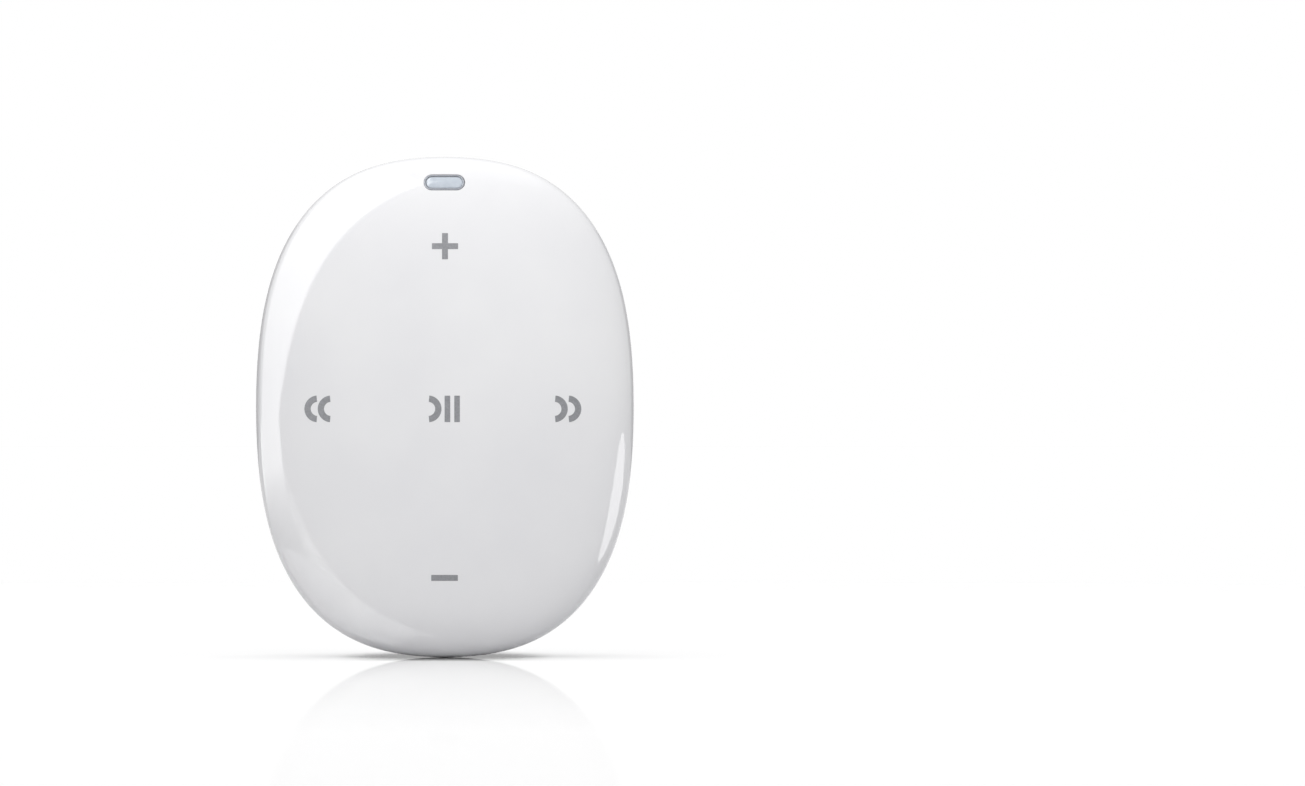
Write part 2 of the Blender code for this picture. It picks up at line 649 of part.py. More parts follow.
def make_front_control():
    """Snap domes on a film, the silicone mat that presses them and the stamped spring over the mat."""
    outline = superellipse(FILM_HALF_WIDTH, FILM_HALF_HEIGHT, FILM_POWER)
    sheet = loft([facing_front(outline, FILM_BACK_Y), facing_front(outline, FILM_FRONT_Y)])
    film = piece("dome_film", sheet, PLAYER, STEEL)
    slab = loft([facing_front(outline, MAT_BACK_Y), facing_front(outline, MAT_FRONT_Y)])
    mat = piece("key_mat", slab, MAT_FRAME, SILICONE)
    spring_outline = superellipse(SPRING_HALF_WIDTH, SPRING_HALF_HEIGHT, FILM_POWER)
    blank = [facing_front(spring_outline, y) for y in (SPRING_BACK_Y, SPRING_FRONT_Y)]
    spring = piece("spring_plate", loft(blank), TILT_FRAME, STEEL)
    film_middle = (FILM_BACK_Y + FILM_FRONT_Y) / 2
    dome_height = film_middle - FILM_FRONT_Y + DOME_RISE
    mat_middle = (MAT_BACK_Y + MAT_FRONT_Y) / 2
    for x, z in KEY_PLACES:
        dome = []
        for step in range(DOME_STEPS + 1):
            angle = math.radians(DOME_LAST_ANGLE * step / DOME_STEPS)
            rise = dome_height * math.sin(angle) / math.sin(math.radians(DOME_LAST_ANGLE))
            radius = DOME_RADIUS * math.cos(angle)
            dome.append(circle((x, film_middle - rise, z), radius, "Y", SMALL_SEGMENTS))
        join(film, loft(dome), PLAYER)
        join(mat, rod((x, 0, z), NUB_RADIUS, "Y", mat_middle, NUB_TIP_Y, SMALL_SEGMENTS), MAT_FRAME)
    for x, z in screw_places():
        head_room = SCREW_HEAD_RADIUS + FIT_GAP
        head_ends = (FILM_FRONT_Y - CUT_PAST, FILM_BACK_Y + CUT_PAST)
        cut(film, rod((x, 0, z), head_room, "Y", *head_ends, SMALL_SEGMENTS), PLAYER)
    for quarter in range(4):
        window = spring_window(math.radians(90 * quarter + 45))
        rings = [facing_front(window, y) for y in (SPRING_BACK_Y + CUT_PAST, SPRING_FRONT_Y - CUT_PAST)]
        cut(spring, loft(rings), TILT_FRAME)


def spring_window(middle):
    """One of the four windows that leave a hub, four arms and a rim in the spring plate."""
    half = math.radians(45 - SPRING_ARM_HALF_ANGLE)
    outer, inner = [], []
    for step in range(SPRING_WINDOW_STEPS + 1):
        angle = middle - half + 2 * half * step / SPRING_WINDOW_STEPS
        c, s = math.cos(angle), math.sin(angle)
        outer.append(((SPRING_HALF_WIDTH - SPRING_RIM) * c, (SPRING_HALF_HEIGHT - SPRING_RIM) * s))
        inner.append((SPRING_HUB_RADIUS * c, SPRING_HUB_RADIUS * s))
    return outer + inner[::-1]


# Headphone socket


def make_headphone_socket():
    """The black socket with its round nose, and the metal collar that lines the opening.

    The top of the nose and the collar slope with the body, which falls away towards the back.
    """
    far, near = JACK_Y - OPENING_RADIUS, JACK_Y + OPENING_RADIUS
    slope = (back_end_z(near) - back_end_z(far)) / (near - far)
    mouth = (back_end_z(near) + back_end_z(far)) / 2 - COLLAR_SINK

    def sloping(radius, drop):
        ring = circle((JACK_OFFSET, JACK_Y, mouth - drop), radius, "Z")
        for point in ring:
            point.z += slope * (point.y - JACK_Y)
        return ring

    collar_radius = OPENING_RADIUS - SEAT_GAP
    collar = [
        sloping(collar_radius - COLLAR_WALL, COLLAR_HEIGHT),
        sloping(collar_radius - COLLAR_WALL, 0.0),
        sloping(collar_radius, 0.0),
        sloping(collar_radius, COLLAR_HEIGHT),
    ]
    piece("jack_collar", loft(collar, closed=True), PLAYER, STEEL)
    housing = box(
        (JACK_OFFSET - JACK_HALF_WIDTH, JACK_Y - JACK_HALF_DEPTH, JACK_FOOT_Z),
        (JACK_OFFSET + JACK_HALF_WIDTH, JACK_Y + JACK_HALF_DEPTH, JACK_SHOULDER_Z),
    )
    jack = piece("headphone_jack", housing, PLAYER, SOCKET_BLACK)
    root = circle((JACK_OFFSET, JACK_Y, JACK_SHOULDER_Z - JOIN_DEPTH), JACK_NOSE_RADIUS, "Z")
    join(jack, loft([root, sloping(JACK_NOSE_RADIUS, COLLAR_HEIGHT + SEAT_GAP)]), PLAYER)
    bore_low = mouth - JACK_BORE_DEPTH
    cut(jack, rod((JACK_OFFSET, JACK_Y, 0), JACK_BORE_RADIUS, "Z", bore_low, HALF_HEIGHT), PLAYER)


# Slide switches


def switch_frames(name, side, z):
    """The two frames of a slide switch.

    One lies on the cover's surface, with X along the slot and Z out of the cover. The other lies over the
    board, with Z along the slot and Y as the body's.
    """
    share = 1 - SWITCH_INSET / BACK_HALF_WIDTH
    across = (share**BODY_POWER - (abs(z) / BACK_HALF_HEIGHT) ** BODY_POWER) ** (1 / BODY_POWER)
    x = side * BACK_HALF_WIDTH * across
    step = DIFFERENCE_STEP
    slope_x = (back_y(x + step, z) - back_y(x - step, z)) / (2 * step)
    slope_z = (back_y(x, z + step) - back_y(x, z - step)) / (2 * step)
    out = Vector((-slope_x, 1, -slope_z)).normalized()
    along = (side * Vector((-out.z, 0, out.x))).normalized()
    surface = Matrix((along, out.cross(along), out)).transposed().to_4x4()
    surface.translation = (x, back_y(x, z), z)
    depth_axis = Vector((0, 1, 0))
    width_axis = depth_axis.cross(along)
    board = Matrix((width_axis, depth_axis, along)).transposed().to_4x4()
    board.translation = Vector((x, 0, z)) - side * SWITCH_INWARD * width_axis
    return add_frame(f"{name}_slot", surface), add_frame(f"{name}_seat", board)


def make_slide_switch(name, side, z, slot_length, cover):
    """A slot through the back cover, its knob with a skirt behind the slot, and the switch that it works.

    The knob stands at the lower end of its slot.
    """
    slot, seat = switch_frames(name, side, z)
    travel = slot_length - KNOB_LENGTH - 2 * KNOB_GAP
    rest = -travel / 2
    skirt_length = slot_length + travel + 2 * SKIRT_LAP
    skirt_width = SLOT_WIDTH + 2 * SKIRT_LAP
    skirt_top = -SLOT_FLOOR - SLIDE_GAP
    skirt_foot = skirt_top - SKIRT_THICKNESS
    skirt_middle = (skirt_top + skirt_foot) / 2

    pad = stadium(slot_length + 2 * SKIRT_LAP, skirt_width)
    pad_ends = (-SLOT_FLOOR - JOIN_DEPTH, JOIN_DEPTH - WALL)
    join(cover, loft([facing_up(pad, height) for height in pad_ends]), slot, from_world=False)
    pocket = stadium(skirt_length + travel + 2 * SLIDE_GAP, skirt_width + 2 * SLIDE_GAP)
    pocket_ends = (skirt_foot - CUT_PAST, -SLOT_FLOOR)
    cut(cover, loft([facing_up(pocket, height) for height in pocket_ends]), slot, from_world=False)
    mouth = stadium(slot_length, SLOT_WIDTH)
    mouth_ends = (skirt_foot, 2 * CUT_PAST)
    cut(cover, loft([facing_up(mouth, height) for height in mouth_ends]), slot, from_world=False)

    skirt_outline = stadium(skirt_length, skirt_width)
    skirt = [moved_along(skirt_outline, rest, height) for height in (skirt_foot, skirt_top)]
    knob = piece(f"{name}_knob", loft(skirt), slot, KNOB_WHITE, from_world=False)
    rings = [moved_along(stadium(KNOB_LENGTH, KNOB_WIDTH), rest, skirt_middle)]
    for step in range(KNOB_STEPS + 1):
        turn = math.pi / 2 * step / KNOB_STEPS
        inset = KNOB_ROUND * (1 - math.cos(turn))
        outline = stadium(KNOB_LENGTH - 2 * inset, KNOB_WIDTH - 2 * inset)
        rings.append(moved_along(outline, rest, KNOB_PROUD - KNOB_ROUND * (1 - math.sin(turn))))
    top = stadium(KNOB_LENGTH - 2 * KNOB_CROWN_INSET, KNOB_WIDTH - 2 * KNOB_CROWN_INSET)
    rings.append(moved_along(top, rest, KNOB_PROUD + KNOB_CROWN))
    join(knob, loft(rings), slot, from_world=False)

    switch_top = ON_BOARD_Y + SWITCH_HEIGHT
    half_width = SWITCH_WIDTH / 2
    half_length = (LEVER_TAB_LENGTH + travel) / 2 + SLIDE_GAP + SWITCH_END
    body = box((-half_width, ON_BOARD_Y, -half_length), (half_width, switch_top, half_length))
    switch = piece(f"{name}_switch", body, seat, CHIP_BLACK, from_world=False)
    groove_half_width = LEVER_TAB_WIDTH / 2 + SLIDE_GAP
    groove_half_length = half_length - SWITCH_END
    groove_floor = switch_top - LEVER_GROOVE_DEPTH
    groove = box(
        (-groove_half_width, groove_floor, -groove_half_length),
        (groove_half_width, switch_top + CUT_PAST, groove_half_length),
    )
    cut(switch, groove, seat, from_world=False)
    tab_half_width, tab_half_length = LEVER_TAB_WIDTH / 2, LEVER_TAB_LENGTH / 2
    tab = box(
        (-tab_half_width, groove_floor + SLIDE_GAP, rest - tab_half_length),
        (tab_half_width, switch_top + LEVER_TAB_RISE, rest + tab_half_length),
    )
    piece(f"{name}_lever", tab, seat, SWITCH_GREY, from_world=False)
    outward = side * seat.matrix_basis.col[0].xyz
    across, out = slot.matrix_basis.col[1].xyz, slot.matrix_basis.col[2].xyz
    fork_across = (-SWITCH_INWARD - skirt_middle * out.dot(outward)) / across.dot(outward)
    fork_top = (slot.matrix_basis @ Vector((rest, fork_across, skirt_middle))).y
    for end in (-1, 1):
        near = rest + end * (tab_half_length + SLIDE_GAP)
        far = near + end * FORK_THICKNESS
        prong = box(
            (-FORK_WIDTH / 2, switch_top + FIT_GAP, min(near, far)),
            (FORK_WIDTH / 2, fork_top, max(near, far)),
        )
        join(knob, prong, seat, from_world=False)


def moved_along(outline, middle, height):
    """An outline (x, y) slid along X to its middle, at a height of its frame."""
    return [Vector((u + middle, v, height)) for u, v in outline]


# Reset


def make_reset():
    """The reset switch on the board's back and its plunger, which a pin reaches through the pinhole."""
    body = box(
        (-RESET_WIDTH / 2, ON_BOARD_Y, RESET_FACE_Z),
        (RESET_WIDTH / 2, ON_BOARD_Y + RESET_DEPTH, RESET_FACE_Z + RESET_HEIGHT),
    )
    switch = piece("reset_switch", body, PLAYER, CHIP_BLACK)
    plunger_foot = RESET_FACE_Z - PLUNGER_PROUD
    plunger_head = plunger_foot + PLUNGER_LENGTH
    well = rod(
        (0, RESET_Y, 0),
        PLUNGER_RADIUS + SLIDE_GAP,
        "Z",
        RESET_FACE_Z - CUT_PAST,
        plunger_head + KEY_TRAVEL + SLIDE_GAP,
        SMALL_SEGMENTS,
    )
    cut(switch, well, PLAYER)
    plunger = rod((0, RESET_Y, 0), PLUNGER_RADIUS, "Z", plunger_foot, plunger_head, SMALL_SEGMENTS)
    piece("reset_plunger", plunger, RESET_FRAME, SWITCH_GREY)


# Clip


def lug_ring(x, root_y, radius, side, middle_y=HINGE_Y, middle_z=HINGE_RISE):
    """A round-ended lug seen along X, from its root to a half circle on the side +1 or -1 along Y."""
    ring = [Vector((x, root_y, middle_z + radius))]
    steps = SMALL_SEGMENTS // 2
    for step in range(steps + 1):
        angle = math.pi * step / steps
        y = middle_y + side * radius * math.sin(angle)
        ring.append(Vector((x, y, middle_z + radius * math.cos(angle))))
    ring.append(Vector((x, root_y, middle_z - radius)))
    return ring


def hinge_hole():
    """The hole for the hinge pin, through every ear and knuckle."""
    reach = HINGE_HALF_SPAN + CUT_PAST
    return rod((0, HINGE_Y, HINGE_RISE), PIN_RADIUS + PIN_GAP, "X", -reach, reach, SMALL_SEGMENTS)


def clip_ring(inset, y):
    """The clip's outline, drawn in by an inset, at a depth y."""
    outline = superellipse(CLIP_HALF_WIDTH - inset, CLIP_HALF_HEIGHT - inset, CLIP_POWER)
    return [point + Vector((0, 0, CLIP_RISE)) for point in facing_front(outline, y)]


def make_clip():
    """The clip's lever with its skirt, knuckles and jaw, the plate on it, the hinge pin and the spring."""
    skirt_inset = CLIP_LEVER_INSET + CLIP_SKIRT_WALL
    skirt_y = CLIP_GAP - CLIP_SKIRT_DEPTH
    tray = [
        clip_ring(skirt_inset, CLIP_GAP),
        clip_ring(skirt_inset, skirt_y),
        clip_ring(CLIP_LEVER_INSET, skirt_y),
        clip_ring(CLIP_LEVER_INSET, LEVER_OUTER_Y),
    ]
    lever = piece("clip_lever", loft(tray), CLIP_FRAME, CLIP_SILVER)
    lever_root = (CLIP_GAP + LEVER_OUTER_Y) / 2
    knuckle_far = HINGE_HALF_SPAN - EAR_WIDTH - FIT_GAP
    for side in (-1, 1):
        knuckle = [
            lug_ring(side * x, lever_root, HINGE_LUG_RADIUS, -1)
            for x in (knuckle_far - KNUCKLE_WIDTH, knuckle_far)
        ]
        join(lever, loft(knuckle), CLIP_FRAME)
    cut(lever, hinge_hole(), CLIP_FRAME)
    jaw_z = CLIP_RISE - CLIP_HALF_HEIGHT + JAW_FOOT_INSET
    jaw_y = back_y(0.0, jaw_z) + FIT_GAP + JAW_RADIUS
    jaw = [
        lug_ring(x, lever_root, JAW_RADIUS, -1, jaw_y, jaw_z) for x in (-JAW_WIDTH / 2, JAW_WIDTH / 2)
    ]
    join(lever, loft(jaw), CLIP_FRAME)

    plate = [
        clip_ring(0.0, PLATE_INNER_Y),
        clip_ring(0.0, PLATE_OUTER_Y - PLATE_CHAMFER),
        clip_ring(PLATE_CHAMFER, PLATE_OUTER_Y),
    ]
    piece("clip_plate", loft(plate), CLIP_FRAME, CLIP_SILVER)
    pin = rod((0, HINGE_Y, HINGE_RISE), PIN_RADIUS, "X", -HINGE_HALF_SPAN, HINGE_HALF_SPAN, SMALL_SEGMENTS)
    piece("hinge_pin", pin, PLAYER, STEEL)
    make_clip_spring()


def make_clip_spring():
    """The torsion spring round the hinge pin: its legs run up and push the clip's thumb end outwards."""
    points = [(-COIL_HALF_LENGTH, -COIL_RADIUS, COIL_LEG)]
    steps = COIL_HALF_TURNS * CURL_POINTS // 2
    for step in range(steps + 1):
        angle = math.pi + math.pi * COIL_HALF_TURNS * step / steps
        x = COIL_HALF_LENGTH * (2 * step / steps - 1)
        points.append((x, COIL_RADIUS * math.cos(angle), COIL_RADIUS * math.sin(angle)))
    points.append((COIL_HALF_LENGTH, COIL_RADIUS, COIL_LEG))
    print(f"clip_spring: least gap to itself {least_gap(points) / MM:.2f} mm")
    curve = bpy.data.curves.new("clip_spring", "CURVE")
    curve.dimensions = "3D"
    curve.bevel_depth = COIL_WIRE / 2
    curve.bevel_resolution = 1
    curve.use_fill_caps = True
    spline = curve.splines.new("POLY")
    spline.points.add(len(points) - 1)
    for point, place in zip(spline.points, points):
        point.co = (*place, 1.0)
    spring = bpy.data.objects.new("clip_spring", curve)
    spring.parent = CLIP_FRAME
    bpy.context.scene.collection.objects.link(spring)
    curve.materials.append(finish("clip_spring", STEEL))


def least_gap(points):
    """The least gap between turns of the wire, measured on points that lie at least half a turn apart."""
    apart = CURL_POINTS // 2
    least = min(
        (Vector(a) - Vector(b)).length for i, a in enumerate(points) for b in points[i + apart + 1 :]
    )
    return least - COIL_WIRE


# The frames that carry the pieces, each on the axis or line that its pieces move by


def place(x, y, z):
    return Matrix.Translation((x, y, z))


def window_frame():
    """On the front cover's surface at the indicator, with Y up the slope and Z out of the cover."""
    z = HALF_HEIGHT - WINDOW_TOP_INSET
    slope = (front_y(0, z + DIFFERENCE_STEP) - front_y(0, z - DIFFERENCE_STEP)) / (2 * DIFFERENCE_STEP)
    out = Vector((0, -1, slope)).normalized()
    right = Vector((1, 0, 0))
    frame = Matrix((right, out.cross(right), out)).transposed().to_4x4()
    frame.translation = (0, front_y(0, z), z)
    return frame


for old in list(bpy.data.objects):
    bpy.data.objects.remove(old)

PLAYER = add_frame("player")
MAT_FRAME = add_frame("press_line", place(0, MAT_BACK_Y, 0))
TILT_FRAME = add_frame("volume_tilt_axis", place(0, TILT_Y, 0))
COVER_FRAME = add_frame("track_tilt_axis", place(0, TILT_Y, 0))
WINDOW_FRAME = add_frame("indicator_window", window_frame())
CLIP_FRAME = add_frame("clip_hinge_axis", place(0, HINGE_Y, HINGE_RISE))
RESET_FRAME = add_frame("reset_line", place(0, RESET_Y, RESET_FACE_Z))

make_front_cover()
make_indicator()
BACK_COVER = make_back_cover()
make_mid_frame()
make_board()
make_front_control()
make_headphone_socket()
make_slide_switch("power", 1, POWER_Z, POWER_SLOT, BACK_COVER)
make_slide_switch("mode", -1, MODE_Z, SIDE_SLOT, BACK_COVER)
make_slide_switch("hold", -1, HOLD_Z, SIDE_SLOT, BACK_COVER)
make_reset()
make_clip()
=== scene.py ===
"""The looks of a clip-on digital audio player: covers, printed marks, sliders, socket, clip and studio."""

import math

import bmesh
import bpy
from mathutils import Matrix, Vector


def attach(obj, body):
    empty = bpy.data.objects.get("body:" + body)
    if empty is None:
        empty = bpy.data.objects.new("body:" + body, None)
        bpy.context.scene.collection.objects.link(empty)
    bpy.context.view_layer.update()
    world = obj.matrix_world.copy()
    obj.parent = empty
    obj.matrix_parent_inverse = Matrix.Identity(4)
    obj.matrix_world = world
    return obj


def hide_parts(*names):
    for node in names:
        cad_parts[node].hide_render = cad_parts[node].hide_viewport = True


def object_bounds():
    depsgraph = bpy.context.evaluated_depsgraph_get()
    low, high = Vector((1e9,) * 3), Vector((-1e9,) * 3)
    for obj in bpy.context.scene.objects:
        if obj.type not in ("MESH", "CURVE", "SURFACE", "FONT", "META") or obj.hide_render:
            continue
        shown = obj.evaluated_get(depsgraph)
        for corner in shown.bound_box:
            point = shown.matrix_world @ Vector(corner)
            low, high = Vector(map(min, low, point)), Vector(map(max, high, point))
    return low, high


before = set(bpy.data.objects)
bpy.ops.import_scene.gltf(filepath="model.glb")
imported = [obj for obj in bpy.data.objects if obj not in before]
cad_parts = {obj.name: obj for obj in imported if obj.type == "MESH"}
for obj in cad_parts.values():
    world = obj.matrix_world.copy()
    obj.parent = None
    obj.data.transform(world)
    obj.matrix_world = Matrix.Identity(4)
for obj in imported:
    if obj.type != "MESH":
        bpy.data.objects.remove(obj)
cad_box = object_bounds()

MM = 0.001
WELD = 1e-4 * MM

# Frames with Z out of the player, X to the right and Y up, as it is seen from the front and from the back
FRONT = Matrix(((1, 0, 0, 0), (0, 0, -1, 0), (0, 1, 0, 0), (0, 0, 0, 1)))
BACK = Matrix(((-1, 0, 0, 0), (0, 0, 1, 0), (0, 1, 0, 0), (0, 0, 0, 1)))

# Covers
FRONT_HALF = (21.0 * MM, 27.8 * MM)
FRONT_RIM = 7.5 * MM
FRONT_RISE = 4.98 * MM
FRONT_POWER = 3.0
FRONT_WALL = 1.0 * MM
BACK_HALF = (20.55 * MM, 27.35 * MM)
BACK_RIM = -7.0 * MM
BACK_RISE = 7.0 * MM
BACK_POWER = 3.6
BACK_FLATNESS = 4.5
BACK_WALL = 1.2 * MM
LIP = 0.25 * MM
PEBBLE = 0.2872
COVER_STEPS = 192
CROWN_STEPS = 44
INNER_STEPS = 20

# Keys under the front cover, in millimetres, and the posts that press them
KEYS = ((0.0, 0.0), (0.0, 17.8), (0.0, -18.9), (-13.8, 0.0), (13.8, 0.0))
POST_TIP = 10.27 * MM
POST_RADIUS = 1.5 * MM
POST_EDGE = 0.2 * MM
POST_SINK = 0.6 * MM

# Window of the indicator: its place up the cover, and the length and width of the hole, bezel and lens
WINDOW_Y = 24.9 * MM
WINDOW_SIZE = (4.6 * MM, 1.88 * MM)
BEZEL_SIZE = (4.56 * MM, 1.84 * MM)
LENS_SIZE = (4.06 * MM, 1.34 * MM)

# Printed ink: the strips that it is sliced into, how deep it is rooted and how high it stands
INK_STRIP = 0.25 * MM
INK_ROOT = 0.03 * MM
INK_HEIGHT = 0.012 * MM
MARK_STROKE = 0.66 * MM
LABEL_STROKE = 0.28 * MM
LABEL_HEIGHT = 1.58 * MM

# Slide switches: middle of the slot, direction along it and direction out of the cover, and the slot's length
SWITCHES = {
    "power": ((19.1, -2.072, -0.3), (0.000963, 0.0, 1.0), (0.6404, 0.768, -0.0006), 7.8 * MM),
    "mode": ((-18.533, -2.072, 8.9), (0.160732, 0.0, 0.986998), (-0.6201, 0.778, 0.101), 5.9 * MM),
    "hold": ((-18.668, -2.072, -8.0), (-0.136006, 0.0, 0.990708), (-0.6251, 0.7758, -0.0858), 5.9 * MM),
}
SLOT_WIDTH = 2.8 * MM
SLOT_ASIDE = 0.3 * MM
SLOT_FLOOR = 1.5 * MM
KNOB_LENGTH = 3.6 * MM
KNOB_WIDTH = 2.4 * MM
KNOB_PLAY = 0.4 * MM
KNOB_PROUD = 0.3 * MM
KNOB_ROUND = 0.7 * MM
KNOB_CROWN = 0.08 * MM
SKIRT_TOP = -1.65 * MM
SKIRT_FOOT = -2.25 * MM
SKIRT_WIDTH = 4.0 * MM
SKIRT_LAP = 0.6 * MM
SKIRT_ROOM = 0.3 * MM
FORK_INWARD = 2.65 * MM
FORK_GAP = 0.95 * MM
FORK_THICKNESS = 0.6 * MM
FORK_HALF_WIDTH = 0.45 * MM
FORK_FOOT = -4.6 * MM

# Headphone socket and reset pinhole
JACK = Vector((0.5, -4.25, 26.1386)) * MM
JACK_SLOPE = -0.47286
OPENING_RADIUS = 2.35 * MM
OPENING_POWER = 4.0
BORE_RADIUS = 1.8 * MM
BORE_DEPTH = 14.0 * MM
NOSE_RADIUS = 2.15 * MM
PINHOLE_RADIUS = 0.5 * MM
PINHOLE_Y, PINHOLE_Z = -5.6 * MM, -26.0 * MM

# Clip and hinge
CLIP_HALF = (13.2 * MM, 25.5 * MM)
CLIP_FULL = 0.49
CLIP_RISE = 0.2 * MM
CLIP_DROP = 0.35 * MM
CLIP_EDGE = 0.7 * MM
CLIP_ROOT = 3.25 * MM
TRAY_INSET = 0.4 * MM
TRAY_WALL = 0.9 * MM
HINGE_Y, HINGE_Z = 1.4 * MM, 9.5 * MM
LUG_RADIUS = 1.15 * MM
EAR_SPAN = (4.2 * MM, 5.8 * MM)
EAR_ROOT = -0.6 * MM
KNUCKLE_SPAN = (2.3 * MM, 3.9 * MM)
PIN_RADIUS = 0.5 * MM
PIN_HALF = 5.8 * MM
PIN_HOLE_RADIUS = 0.55 * MM
PIN_HOLE_HALF = 7.0 * MM
JAW_Z = -20.6 * MM
JAW_HALF = 6.0 * MM
JAW_RADIUS = 0.8 * MM
JAW_GAP = 0.35 * MM

# Picture: its pixels, the player's middle in them, its width at the front rim and the camera's distance
PICTURE = (1305, 786)
PLAYER_AT = (445, 407)
PICTURE_SPAN = 145.0 * MM
STAND_OFF = 1.0


# Surfaces of the covers


def pebble_share(x, y, half):
    """How far out a point lies on a cover, as a share of the way to its edge."""
    u = goal_u = x / half[0]
    v = goal_v = y / half[1]
    for _ in range(12):
        push = 1 + PEBBLE * (u * v) ** 2
        u, v = goal_u / push, goal_v / push
    return math.hypot(u, v)


def front_height(x, y):
    share = min(pebble_share(x, y, FRONT_HALF), 1.0)
    return FRONT_RIM + FRONT_RISE * (1 - (share**2 + share**4) / 2) ** (1 / FRONT_POWER)


def back_height(x, y):
    share = min(pebble_share(x, y, BACK_HALF), 1.0)
    return BACK_RIM + BACK_RISE * (1 - share**BACK_FLATNESS) ** (1 / BACK_POWER)


def over_back(place):
    """The back cover's height over the plane of a frame, as a function of a point on it."""

    def height(u, v):
        low, high = -6 * MM, 4 * MM
        for _ in range(40):
            middle = (low + high) / 2
            point = place @ Vector((u, v, middle))
            if point.y < back_height(point.x, point.z):
                low = middle
            else:
                high = middle
        return (low + high) / 2

    return height


# Shaping


def mm(*points):
    """Points that are given in millimetres."""
    return [(x * MM, y * MM) for x, y in points]


def turned(profile, steps=64):
    """A profile of (radius, height) spun a full turn about Z. Off the axis it is closed on itself."""
    bm = bmesh.new()
    half_step = math.pi / steps
    verts = [bm.verts.new((r * math.cos(half_step), r * math.sin(half_step), z)) for r, z in profile]
    pairs = list(zip(verts, verts[1:]))
    if profile[0][0] > 0:
        pairs.append((verts[-1], verts[0]))
    edges = [bm.edges.new(pair) for pair in pairs]
    bmesh.ops.spin(
        bm, geom=verts + edges, cent=(0, 0, 0), axis=(0, 0, 1), angle=math.tau, steps=steps, use_merge=True
    )
    bmesh.ops.remove_doubles(bm, verts=bm.verts[:], dist=WELD)
    bmesh.ops.recalc_face_normals(bm, faces=bm.faces[:])
    return bm


def arc(middle, radius, start, end, steps):
    """Points (radius, height) of a round in a profile, between two angles in degrees."""
    angles = [math.radians(start + (end - start) * step / steps) for step in range(steps + 1)]
    return [(middle[0] + radius * math.cos(a), middle[1] + radius * math.sin(a)) for a in angles]


def to_pebble(bm, half, full=PEBBLE, even_rim=False):
    """Pushes a round turned shape out to a pebble outline. With even_rim, its edge is as broad all round."""
    for vert in bm.verts:
        radius = math.hypot(vert.co.x, vert.co.y)
        if radius < WELD:
            continue
        share = radius / half[0]
        u, v = vert.co.x / radius, vert.co.y / radius
        settled = min(share / 0.85, 1.0) ** 4 if even_rim else share**4
        push = 1 + full * settled * (u * v) ** 2
        taller = half[1] / half[0] * radius
        if even_rim:
            taller = radius + (half[1] - half[0]) * (1 - (1 - min(share, 1.0)) ** 2)
        vert.co.x, vert.co.y = radius * u * push, taller * v * push
    return bm


def to_slot(bm, length, width, middle=0.0):
    """Draws a round turned shape of that width out along X, to a slot of that length."""
    straight = (length - width) / 2
    for vert in bm.verts:
        if abs(vert.co.x) > WELD:
            vert.co.x += math.copysign(straight, vert.co.x)
        vert.co.x += middle
    return bm


def draped(bm, height):
    """Lifts each point by the height of a surface over it."""
    for vert in bm.verts:
        vert.co.z += height(vert.co.x, vert.co.y)
    return bm


def placed(bm, matrix):
    bmesh.ops.transform(bm, matrix=matrix, verts=bm.verts[:])
    return bm


def frame_of(right, up, out, middle):
    matrix = Matrix((right, up, out)).transposed().to_4x4()
    matrix.translation = middle
    return matrix


def rounded(bm, edges, radius, steps):
    bmesh.ops.bevel(bm, geom=edges, offset=radius, affect="EDGES", segments=steps, profile=0.5, material=-1)
    return bm


def block(low, high, edge=0.0, segments=2):
    """A block between two corners with rounded edges."""
    low, high = Vector(low), Vector(high)
    bm = bmesh.new()
    bmesh.ops.create_cube(bm, size=1.0)
    placed(bm, Matrix.Translation((low + high) / 2) @ Matrix.Diagonal((*(high - low), 1)))
    return rounded(bm, bm.edges[:], edge, segments) if edge else bm


def lug(x_ends, root_y, middle, radius, side):
    """A lug with a half-round end about an axis along X, from its root to the side +1 or -1 along Y."""
    tip_y = middle[0] + side * radius
    ends = sorted((root_y, tip_y))
    bm = block((min(x_ends), ends[0], middle[1] - radius), (max(x_ends), ends[1], middle[1] + radius))
    at_tip = [e for e in bm.edges if all(abs(v.co.y - tip_y) < WELD for v in e.verts)]
    along = [e for e in at_tip if abs(e.verts[0].co.x - e.verts[1].co.x) > WELD]
    rounded(bm, along, radius * 0.999, 10)
    bmesh.ops.remove_doubles(bm, verts=bm.verts[:], dist=0.01 * MM)
    return bm


def new_object(name, data):
    obj = bpy.data.objects.new(name, data)
    bpy.context.scene.collection.objects.link(obj)
    return obj


def mesh_object(name, bm):
    mesh = bpy.data.meshes.new(name)
    bm.to_mesh(mesh)
    bm.free()
    return new_object(name, mesh)


def verts_of(geometry):
    return [g for g in geometry if isinstance(g, bmesh.types.BMVert)]


def edges_of(geometry):
    return [g for g in geometry if isinstance(g, bmesh.types.BMEdge)]


def worked(bm, *steps):
    """A body after its Booleans, each a pair of operation and tool."""
    held = mesh_object("held", bm)
    tools = []
    for operation, tool in steps:
        tools.append(mesh_object("tool", tool))
        modifier = held.modifiers.new("work", "BOOLEAN")
        modifier.operation, modifier.solver, modifier.object = operation, "EXACT", tools[-1]
    result = bmesh.new()
    result.from_object(held, bpy.context.evaluated_depsgraph_get())
    for obj in (held, *tools):
        bpy.data.meshes.remove(obj.data)
    return result


